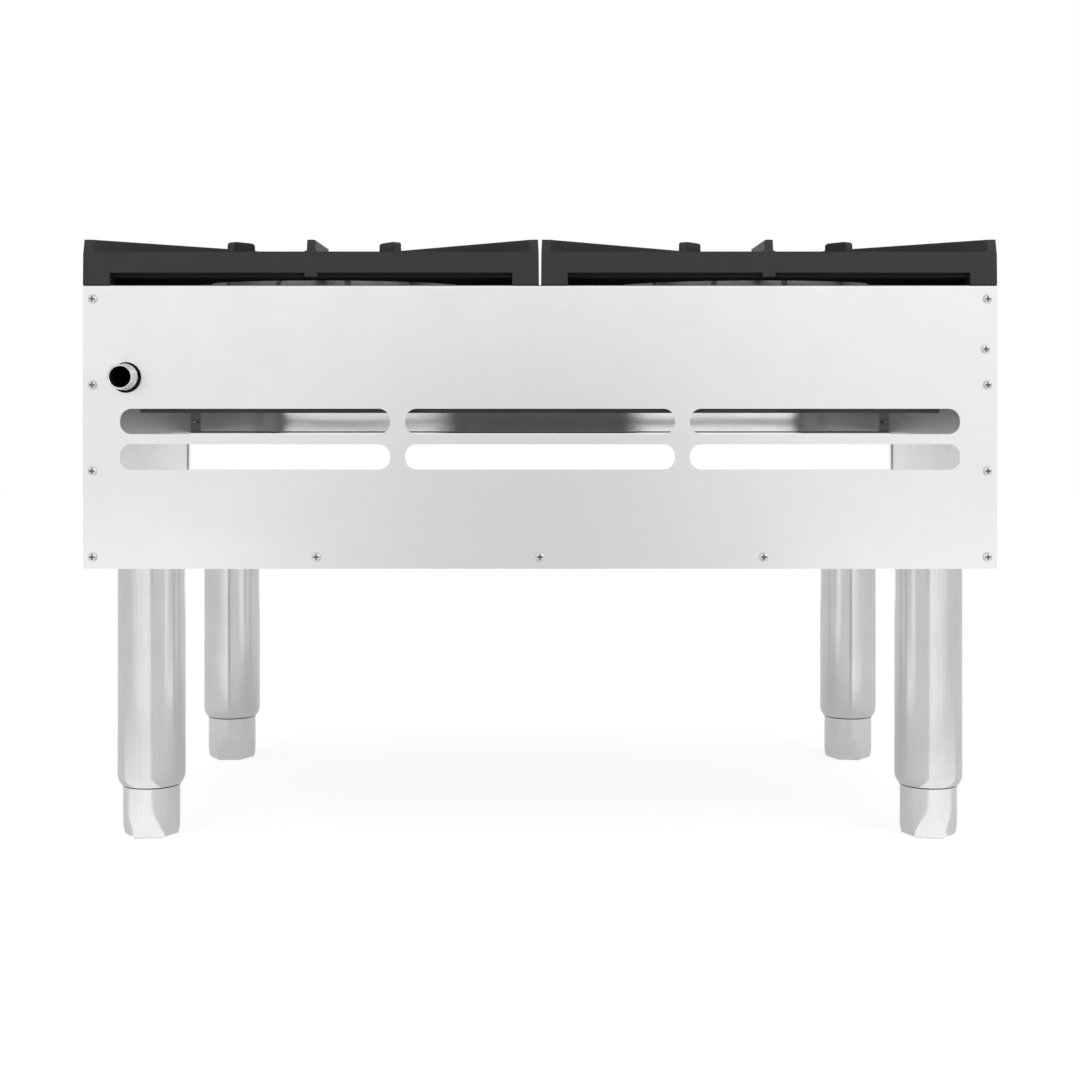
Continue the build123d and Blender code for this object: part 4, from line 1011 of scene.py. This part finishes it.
@dataclass
class LegAndFoot:
    """One leg tube and the adjustable foot in its rolled-in end.

    Attributes:
        palette: where materials come from.
        corner: which corner of the range, as in the node names.
        radius: outside radius of the tube.
        wall: its wall.
        lip_radius: radius of the opening.
        lip_rise: height of the rolled-in end.
        lip_middle: a point on its curve, in shares of its width and height.
        open_height: height of the opening over the floor.
        cut_edge: how far up the painted shade on the cut end reaches.
        top: height of the tube's top.
        cap: thickness of the cap in the tube's top.
        bolt_radius: radius of the stud on the cap.
        bolt_length: length of that stud.
        foot_radius: radius of the foot.
        facets: how many wrench facets it has.
        flat: radius to the middle of a facet, at the floor.
        slope: how fast the facets widen upwards.
        sharpness: exponent k of the facets' soft edges.
        facet_turn: turn of the facets on the left and on the right, in degrees.
        facet_height: height up to which the foot is drawn in fine rows of points.
        facet_rows: number of those rows.
        waist: height of the row between those and the round body's top.
        foot_height: height of the foot's round body.
        nose: radius of the rounding at the floor.
        shoulder: size of the bevel at the round body's top.
        stud_radius: radius of its threaded stud.
        stud_length: length of the stud.
        stud_pitch: pitch of its thread.
        stud_thread: depth of its thread.
        steps: rows to one turn of the thread.
        tube_sides: columns of points round the tube.
        foot_sides: columns of points round the foot.
        crease_angle: an edge sharper than this stays sharp under smooth shading.
    """

    palette: Palette
    corner: str
    radius: float = 34.5 * MM
    wall: float = 1.5 * MM
    lip_radius: float = 29.4 * MM
    lip_rise: float = 12.0 * MM
    lip_middle: Point = (0.74, 0.46)
    open_height: float = 51.5 * MM
    cut_edge: float = 1.2 * MM
    top: float = 279.4 * MM
    cap: float = 3.0 * MM
    bolt_radius: float = 8.0 * MM
    bolt_length: float = 20.0 * MM
    foot_radius: float = 29.0 * MM
    facets: int = 6
    flat: float = 23.5 * MM
    slope: float = float(np.tan(np.radians(12.5)))
    sharpness: float = 70.0
    facet_turn: tuple[float, float] = (2.0, -8.0)
    facet_height: float = 30.0 * MM
    facet_rows: int = 46
    waist: float = 60.0 * MM
    foot_height: float = 91.7 * MM
    nose: float = 2.0 * MM
    shoulder: float = 1.0 * MM
    stud_radius: float = 8.0 * MM
    stud_length: float = 50.0 * MM
    stud_pitch: float = 2.0 * MM
    stud_thread: float = 1.0 * MM
    steps: int = 6
    tube_sides: int = 96
    foot_sides: int = 192
    crease_angle: float = float(np.radians(35.0))

    def centre(self) -> Grid:
        """Foot of the leg's axis, from the CAD node's box."""
        low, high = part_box(f"leg_{self.corner}")
        return np.array([(low[0] + high[0]) / 2, (low[1] + high[1]) / 2, 0.0])

    def tube(self) -> Surface:
        """Leg tube: cap, inside, rolled-in end, outside, and the stud on the cap.

        Returns:
            Points and faces.
        """
        lip, base, out = self.lip_radius, self.open_height, self.radius
        inside, ceiling, bolt_top = out - self.wall, self.top - self.cap, self.top + self.bolt_length
        bend = base + self.lip_rise
        share, up = self.lip_middle[0], self.lip_middle[1] * self.lip_rise
        outer = arc_through((lip, base), (lip + share * (out - lip), base + up), (out, bend), count=14)
        inner = arc_through((inside, bend), (lip + share * (inside - lip), base + self.wall + up),
                            (lip, base + self.wall), count=10)
        crown = [(out, self.top), (self.bolt_radius, self.top), (self.bolt_radius, bolt_top), (0.0, bolt_top)]
        outline = [(0.0, ceiling), (inside, ceiling)] + inner + outer + crown
        return turned(*outline_grid(outline, self.tube_sides))

    def foot(self) -> Surface:
        """Foot: facets that run out into the round body, and the stud.

        The radius is the soft minimum (f^-k + R^-k)^(-1/k) of the round radius R
        and of the facet's distance f = (flat + slope z) / cos(d), with d the angle
        to the nearest facet's middle. One facet faces the rear, but for its turn.
        The nose is a quarter circle of radius n, which takes
        n - (n^2 - (n - z)^2)^(1/2) off the radius below z = n.

        Returns:
            Points and faces.
        """
        sides, sharp, nose = self.foot_sides, self.sharpness, self.nose
        angle = 360.0 * np.arange(sides) / sides
        middle = 90.0 + self.facet_turn["right" in self.corner]
        width = 360.0 / self.facets
        off = (angle - middle + width / 2) % width - width / 2
        fine = np.linspace(0.0, self.facet_height, self.facet_rows)
        coarse = [self.waist, self.foot_height - self.shoulder, self.foot_height]
        heights = np.concatenate([fine, coarse])[:, None]
        facet = (self.flat + self.slope * heights) / np.cos(np.radians(off))
        radius = (facet ** -sharp + self.foot_radius ** -sharp) ** (-1 / sharp)
        lift = np.clip(nose - heights, 0, nose)
        radius = radius - (nose - np.sqrt(nose ** 2 - lift ** 2))
        radius[-1] -= self.shoulder
        rise = np.arange(0.0, self.stud_length, self.stud_pitch / self.steps)[:, None]
        stud = np.repeat(self.foot_height + rise, sides, axis=1)
        thread = self.stud_radius - screw_thread(stud, self.stud_pitch, self.stud_thread)
        pole = np.zeros((1, sides))
        radii = np.vstack([pole, radius, thread, pole])
        levels = np.vstack([pole, np.repeat(heights, sides, axis=1), stud,
                            pole + self.foot_height + self.stud_length])
        return turned(radii, levels)

    def build(self) -> list[bpy.types.Object]:
        """Adds both pieces where their CAD nodes are.

        Returns:
            The leg tube and the foot.
        """
        place = self.centre()
        points, faces = self.tube()
        leg = add_mesh(f"leg_tube_{self.corner}", points + place, faces, self.palette(LEG_TUBE))
        self.crease(leg)
        self.paint_cut_edge(leg)
        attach(leg, "frame")
        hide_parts(f"leg_{self.corner}")
        points, faces = self.foot()
        foot = add_mesh(f"turned_foot_{self.corner}", points + place, faces, self.palette(TURNED_FOOT))
        self.crease(foot)
        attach(foot, f"foot_{self.corner}")
        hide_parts(f"foot_{self.corner}")
        return [leg, foot]

    def paint_cut_edge(self, leg: bpy.types.Object) -> None:
        """Paints the tube's cut end dark as painted shade, duller than its polished outside.

        Args:
            leg: the leg tube.
        """
        dull = read(leg.data.polygons, "center", 3)[:, 2] < self.open_height + self.cut_edge
        paint(leg.data, dull, self.palette(DARK_STEEL_PAINTED_SHADE))

    def crease(self, piece: bpy.types.Object) -> None:
        """Keeps a piece's sharp edges sharp under smooth shading.

        Args:
            piece: the leg tube or the foot.
        """
        mesh = piece.data
        edit = bmesh.new()
        edit.from_mesh(mesh)
        for edge in edit.edges:
            edge.smooth = not edge.is_manifold or edge.calc_face_angle() < self.crease_angle
        edit.to_mesh(mesh)
        edit.free()


@dataclass
class Casting:
    """Merged copy of a cast CAD piece with its edges rounded, as sand casting leaves them.

    Attributes:
        palette: where materials come from.
        node: the CAD node.
        finish: its finish.
        edge: width of the rounding.
        edge_room: how many roundings must fit along an edge before it gets one.
        sharpest: angle over which an edge is rounded.
        weld: points nearer than this become one.
        flat: faces that meet at less than this angle become one.
        shade_height: height over its lowest point below which its inner faces get painted shade.
        shade_inset: how far inside its outline the painted shade begins.
    """

    palette: Palette
    node: str
    finish: Finish
    edge: float = 0.8 * MM
    edge_room: float = 2.2
    sharpest: float = float(np.radians(28.0))
    weld: float = 0.02 * MM
    flat: float = float(np.radians(0.6))
    shade_height: float = 0.0
    shade_inset: float = 6.0 * MM

    def build(self) -> bpy.types.Object:
        """Copies, merges and bevels the mesh, and stands it in for the node.

        Returns:
            The new piece.
        """
        source = frame["nodes"][self.node]
        edit = bmesh.new()
        edit.from_mesh(source.data)
        edit.transform(source.matrix_world)
        bmesh.ops.remove_doubles(edit, verts=edit.verts, dist=self.weld)
        bmesh.ops.dissolve_limit(edit, angle_limit=self.flat, verts=edit.verts, edges=edit.edges)
        bmesh.ops.recalc_face_normals(edit, faces=edit.faces)
        mesh = bpy.data.meshes.new(f"cast_{self.node}")
        edit.to_mesh(mesh)
        edit.free()
        mesh.polygons.foreach_set("use_smooth", np.full(len(mesh.polygons), True))
        mesh.materials.clear()
        mesh.materials.append(self.palette(self.finish))
        # Painted shade on the low inner faces.
        self.soot(mesh)
        self.mark_edges(mesh)
        piece = bpy.data.objects.new(f"cast_{self.node}", mesh)
        bpy.context.scene.collection.objects.link(piece)
        bevel = piece.modifiers.new("rounded_edges", "BEVEL")
        bevel.limit_method = "WEIGHT"
        bevel.width = self.edge
        bevel.segments = 2
        shade = piece.modifiers.new("flat_faces_shade_flat", "WEIGHTED_NORMAL")
        shade.mode = "FACE_AREA"
        shade.weight = 100
        shade.keep_sharp = True
        body = body_of(source)
        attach(piece, body if isinstance(body, str) else body[0])
        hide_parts(self.node)
        return piece

    def mark_edges(self, mesh: bpy.types.Mesh) -> None:
        """Chooses the outward edges that have room: one short edge would flatten every rounding.

        An edge has two faces with normals n and m, and runs along a in the first.
        It is an outward one where m . (n x a) is below zero, as the second face then
        falls away from the first, and a sharp one where n . m is below the cosine
        of the limit.

        Args:
            mesh: the casting's mesh, which gets a weight on each chosen edge.
        """
        ends = read(mesh.edges, "vertices", 2, np.int32)
        points = read(mesh.vertices, "co", 3)
        room = np.linalg.norm(points[ends[:, 1]] - points[ends[:, 0]], axis=1) > self.edge_room * self.edge
        crowded = np.zeros(len(points), dtype=bool)
        crowded[ends[~room].ravel()] = True
        sides = read(mesh.polygons, "loop_total", kind=np.int32)
        normals = np.repeat(read(mesh.polygons, "normal", 3), sides, axis=0)
        edge_of = read(mesh.loops, "edge_index", kind=np.int32)
        start_of = read(mesh.loops, "vertex_index", kind=np.int32)
        order = np.argsort(edge_of, kind="stable")
        numbers = np.arange(len(mesh.edges))
        first = order[np.searchsorted(edge_of[order], numbers, side="left")]
        last = order[np.searchsorted(edge_of[order], numbers, side="right") - 1]
        along = points[ends].sum(axis=1) - 2 * points[start_of[first]]
        inward = np.cross(normals[first], along)
        outward_edge = np.einsum("ij,ij->i", normals[last], inward) < 0
        sharp = np.einsum("ij,ij->i", normals[first], normals[last]) < np.cos(self.sharpest)
        chosen = room & outward_edge & sharp & ~crowded[ends].any(axis=1)
        weights = mesh.attributes.new("bevel_weight_edge", "FLOAT", "EDGE")
        weights.data.foreach_set("value", chosen.astype(np.float32))
        mesh.edges.foreach_set("use_edge_sharp", sharp & ~chosen)

    def soot(self, mesh: bpy.types.Mesh) -> None:
        """Paints the low inner faces nearly black, as shade under the rails.

        Args:
            mesh: the casting's mesh.
        """
        low, high = (np.array(corner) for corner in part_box(self.node))
        middle = read(mesh.polygons, "center", 3)
        inside = np.all((middle[:, :2] > low[:2] + self.shade_inset)
                        & (middle[:, :2] < high[:2] - self.shade_inset), axis=1)
        paint(mesh, inside & (middle[:, 2] < low[2] + self.shade_height), self.palette(GRATE_INNER_SHADE))


@dataclass(frozen=True)
class Softbox:
    """A rectangular soft lamp.

    Attributes:
        name: its name.
        place: where it hangs.
        size: its width and height.
        watts: its power.
        mirrored: whether the metal reflects it.
    """

    name: str
    place: Triple
    size: tuple[float, float]
    watts: float
    mirrored: bool = True


@dataclass
class Studio:
    """Pale floor, soft light and the camera.

    A card is a glowing sheet that only reflections show. Its edges are given as
    left and right X, lower and upper height.

    Attributes:
        distance: from the rear panel to the camera.
        eye_height: height of the camera over the floor.
        lens_mm: focal length.
        sensor_mm: width of the camera's sensor.
        shift_down: upright lens shift in frame widths; below zero it looks down without tilting.
        floor_size: side of the square floor.
        floor_grey: sRGB hex of the floor, which takes the shadow.
        floor_glow: light that the floor adds for the camera only.
        floor_mirror: light that it adds in reflections.
        sky_rear: brightness of the surroundings behind the rear-view camera.
        sky_front: their brightness on the other side.
        sky_span: how far to the rear, from -1 to 1, sky_front ends and sky_rear begins.
        softboxes: a key light behind the camera's shoulder and a large top light.
        aim: the point that both face.
        dark_card_gap: how far the dark cards stand behind the camera.
        dark_card: edges of the one at the camera, which the body reflects.
        dark_rail_card: edges of the narrow one beside it, which the front rail reflects.
        dark_card_glow: their brightness.
        backdrop_gap: how far a white card stands on the other side of the range.
        backdrop_card: its edges.
        white_card_gap: how far the two white cards stand behind the rear panel.
        white_card_edge: their inner edges' distance from the middle.
        white_card_top: their height.
        card_reach: how far they reach from the middle.
        white_card_glow: their brightness at the inner edge.
        white_card_outer_glow: their brightness at the outer edge.
        floor_card_start: how far under the range the cards on the floor begin.
        floor_card_edge: their inner edges' distance from the middle there.
        floor_card_flare: how much nearer the middle they come at the other end.
        floor_card_glow: their brightness at the inner edge, which the feet reflect.
    """

    distance: float = 1.814
    eye_height: float = 0.4534
    lens_mm: float = 60.47
    sensor_mm: float = 36.0
    shift_down: float = -0.1343
    floor_size: float = 12.0
    floor_grey: str = "#A8A8A8"
    floor_glow: float = 0.78
    floor_mirror: float = 0.44
    sky_rear: float = 1.17
    sky_front: float = 0.55
    sky_span: tuple[float, float] = (-0.4, 0.95)
    softboxes: tuple[Softbox, ...] = (
        Softbox("key_softbox", (-2.2, 2.4, 1.9), (1.4, 1.0), 9.0),
        Softbox("top_softbox", (0.0, 0.2, 2.6), (2.4, 1.6), 10.0, mirrored=False),
    )
    aim: Triple = (0.0, 0.0, 0.5)
    dark_card_gap: float = 0.06
    dark_card: Edges = (-0.26, 0.26, 0.17, 0.50)
    dark_rail_card: Edges = (0.26, 0.72, 0.366, 0.390)
    dark_card_glow: float = 0.10
    backdrop_gap: float = 2.1
    backdrop_card: Edges = (-0.45, 0.45, 0.0, 0.55)
    white_card_gap: float = 0.43
    white_card_edge: float = 0.335
    white_card_top: float = 0.27
    card_reach: float = 1.30
    white_card_glow: float = 1.16
    white_card_outer_glow: float = 0.74
    floor_card_start: float = 0.045
    floor_card_edge: float = 0.372
    floor_card_flare: float = 0.03
    floor_card_glow: float = 1.15

    def empty_tree(self, owner: Union[bpy.types.Material, bpy.types.World]) -> bpy.types.NodeTree:
        """Turns nodes on and clears them.

        Args:
            owner: the material or world.

        Returns:
            Its node tree.
        """
        owner.use_nodes = True
        owner.node_tree.nodes.clear()
        return owner.node_tree

    def build_floor(self) -> None:
        """Pale floor: white to the eye, greyer in what the metal reflects, with its shadow."""
        half = self.floor_size / 2
        corners = np.array([[-half, -half, 0], [half, -half, 0], [half, half, 0], [-half, half, 0]])
        material = bpy.data.materials.new("pale_studio_floor")
        tree = self.empty_tree(material)
        path = add_node(tree, "ShaderNodeLightPath")
        seen = add_node(tree, "ShaderNodeMath", {"operation": "MULTIPLY"},
                        {0: path.outputs["Is Camera Ray"], 1: self.floor_glow})
        mirrored = add_node(tree, "ShaderNodeMath", {"operation": "MULTIPLY_ADD"},
                            {0: path.outputs["Is Glossy Ray"], 1: self.floor_mirror, 2: seen.outputs[0]})
        light = add_node(tree, "ShaderNodeEmission", inputs={"Strength": mirrored.outputs[0]})
        dull = add_node(tree, "ShaderNodeBsdfDiffuse", inputs={"Color": linear(self.floor_grey)})
        both = add_node(tree, "ShaderNodeAddShader", inputs={0: light.outputs[0], 1: dull.outputs[0]})
        out = add_node(tree, "ShaderNodeOutputMaterial")
        tree.links.new(both.outputs[0], out.inputs["Surface"])
        floor = add_mesh("studio_floor", corners, [[0, 1, 2, 3]], material, smooth=False)

    def build_sky(self) -> None:
        """White to the camera; to the metal, brighter behind the camera than in front."""
        world = bpy.data.worlds.new("studio_sky")
        bpy.context.scene.world = world
        tree = self.empty_tree(world)
        path = add_node(tree, "ShaderNodeLightPath")
        seen = add_node(tree, "ShaderNodeMath", {"operation": "MAXIMUM"},
                        {0: path.outputs["Is Camera Ray"], 1: path.outputs["Is Transmission Ray"]})
        place = add_node(tree, "ShaderNodeTexCoord")
        parts = add_node(tree, "ShaderNodeSeparateXYZ", inputs={0: place.outputs["Generated"]})
        level = add_node(tree, "ShaderNodeMapRange", {"interpolation_type": "SMOOTHSTEP"}, {
            "Value": parts.outputs["Y"], "From Min": self.sky_span[0], "From Max": self.sky_span[1],
            "To Min": self.sky_front, "To Max": self.sky_rear})
        soft = add_node(tree, "ShaderNodeBackground", inputs={
            "Color": linear("#FFFFFF"), "Strength": level.outputs["Result"]})
        white = add_node(tree, "ShaderNodeBackground", inputs={"Color": linear("#FFFFFF"), "Strength": 1.0})
        both = add_node(tree, "ShaderNodeMixShader", inputs={
            0: seen.outputs[0], 1: soft.outputs[0], 2: white.outputs[0]})
        out = add_node(tree, "ShaderNodeOutputWorld")
        tree.links.new(both.outputs[0], out.inputs["Surface"])

    def build_lights(self) -> None:
        """Hangs the softboxes and turns them to their aim."""
        for box in self.softboxes:
            data = bpy.data.lights.new(box.name, "AREA")
            data.shape = "RECTANGLE"
            data.size, data.size_y = box.size
            data.energy = box.watts
            lamp = bpy.data.objects.new(box.name, data)
            lamp.location = box.place
            lamp.rotation_euler = (Vector(box.place) - Vector(self.aim)).to_track_quat("Z", "Y").to_euler()
            lamp.visible_camera = False
            lamp.visible_glossy = box.mirrored
            bpy.context.scene.collection.objects.link(lamp)

    def add_card(self, name: str, corners: Grid, inner_glow: float, outer_glow: float) -> None:
        """Adds a card.

        Args:
            name: the card's name.
            corners: its four corners.
            inner_glow: its brightness up to white_card_edge from the middle, where 1 is white.
            outer_glow: its brightness at card_reach from the middle.
        """
        material = bpy.data.materials.new(name)
        tree = self.empty_tree(material)
        place = add_node(tree, "ShaderNodeTexCoord")
        parts = add_node(tree, "ShaderNodeSeparateXYZ", inputs={0: place.outputs["Object"]})
        aside = add_node(tree, "ShaderNodeMath", {"operation": "ABSOLUTE"}, {0: parts.outputs["X"]})
        glow = add_node(tree, "ShaderNodeMapRange", inputs={
            "Value": aside.outputs[0], "From Min": self.white_card_edge, "From Max": self.card_reach,
            "To Min": inner_glow, "To Max": outer_glow})
        light = add_node(tree, "ShaderNodeEmission", inputs={"Strength": glow.outputs["Result"]})
        out = add_node(tree, "ShaderNodeOutputMaterial")
        tree.links.new(light.outputs[0], out.inputs["Surface"])
        card = add_mesh(name, corners, [[0, 1, 2, 3]], material, smooth=False)
        card.visible_camera = False
        card.visible_diffuse = False
        card.visible_shadow = False

    def upright(self, edges: Edges, behind: float) -> Grid:
        """Corners of an upright card that faces the range.

        Args:
            edges: its edges.
            behind: how far it stands behind the rear panel.

        Returns:
            The four corners, one to a row.
        """
        left, right, low, high = edges
        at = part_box("rear_panel")[1][1] + behind
        return np.array([[left, at, low], [right, at, low], [right, at, high], [left, at, high]])

    def build_cards(self) -> None:
        """Dark cards at the camera, a white one in front of the range and two on each side."""
        behind = self.distance + self.dark_card_gap
        self.add_card("dark_card", self.upright(self.dark_card, behind),
                      self.dark_card_glow, self.dark_card_glow)
        self.add_card("dark_rail_card", self.upright(self.dark_rail_card, behind),
                      self.dark_card_glow, self.dark_card_glow)
        self.add_card("backdrop_card", self.upright(self.backdrop_card, -self.backdrop_gap),
                      self.white_card_glow, self.white_card_glow)
        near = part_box("rear_panel")[1][1] - self.floor_card_start
        far = near + self.white_card_gap
        for side, name in ((1, "left"), (-1, "right")):
            edges = (side * self.white_card_edge, side * self.card_reach, 0.0, self.white_card_top)
            self.add_card(f"{name}_white_card", self.upright(edges, self.white_card_gap),
                          self.white_card_glow, self.white_card_outer_glow)
            inner, outer = side * self.floor_card_edge, side * self.card_reach
            corners = [[inner, near, MM], [outer, near, MM], [outer, far, MM],
                       [inner - side * self.floor_card_flare, far, MM]]
            self.add_card(f"{name}_floor_card", np.array(corners),
                          self.floor_card_glow, self.white_card_outer_glow)

    def build_camera(self) -> None:
        """Level camera straight behind the range."""
        data = bpy.data.cameras.new("rear_view")
        data.sensor_width = self.sensor_mm
        data.lens = self.lens_mm
        data.shift_y = self.shift_down
        camera = bpy.data.objects.new("rear_view", data)
        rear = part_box("rear_panel")[1][1]
        camera.location = (0.0, rear + self.distance, self.eye_height)
        camera.rotation_euler = (np.pi / 2, 0.0, np.pi)
        bpy.context.scene.collection.objects.link(camera)
        bpy.context.scene.camera = camera

    def build(self) -> None:
        """Builds the whole set."""
        self.build_floor()
        self.build_sky()
        self.build_lights()
        self.build_cards()
        self.build_camera()
        bpy.context.scene.view_settings.view_transform = "Standard"


def main() -> None:
    """Builds the studio and the range, and logs what it built."""
    logging.basicConfig(level=logging.INFO, format="%(name)s %(message)s")
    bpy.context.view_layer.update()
    palette = Palette()
    LOG.info("dressed %d nodes", Dressing(palette).dress())
    screws = PanHeadScrews(palette).build()
    LOG.info("screws: %s", [piece.name for piece in screws])
    LOG.info("pipe: %s", GasInlet(palette).build().name)
    for corner in ("rear_left", "rear_right", "front_left", "front_right"):
        LOG.info("leg and foot: %s", [piece.name for piece in LegAndFoot(palette, corner).build()])
    for side in ("left", "right"):
        # The grates' low inner faces get painted shade.
        castings = [Casting(palette, f"grate_{side}", BLACK_CASTING, shade_height=GRATE_SHADE_HEIGHT)]
        castings += [Casting(palette, f"{ring}_burner_{side}", GREY_CASTING, edge=BURNER_EDGE)
                     for ring in ("outer", "inner")]
        LOG.info("castings: %s", [casting.build().name for casting in castings])
    Studio().build()
    LOG.info("studio built")


if __name__ == "__main__":
    main()
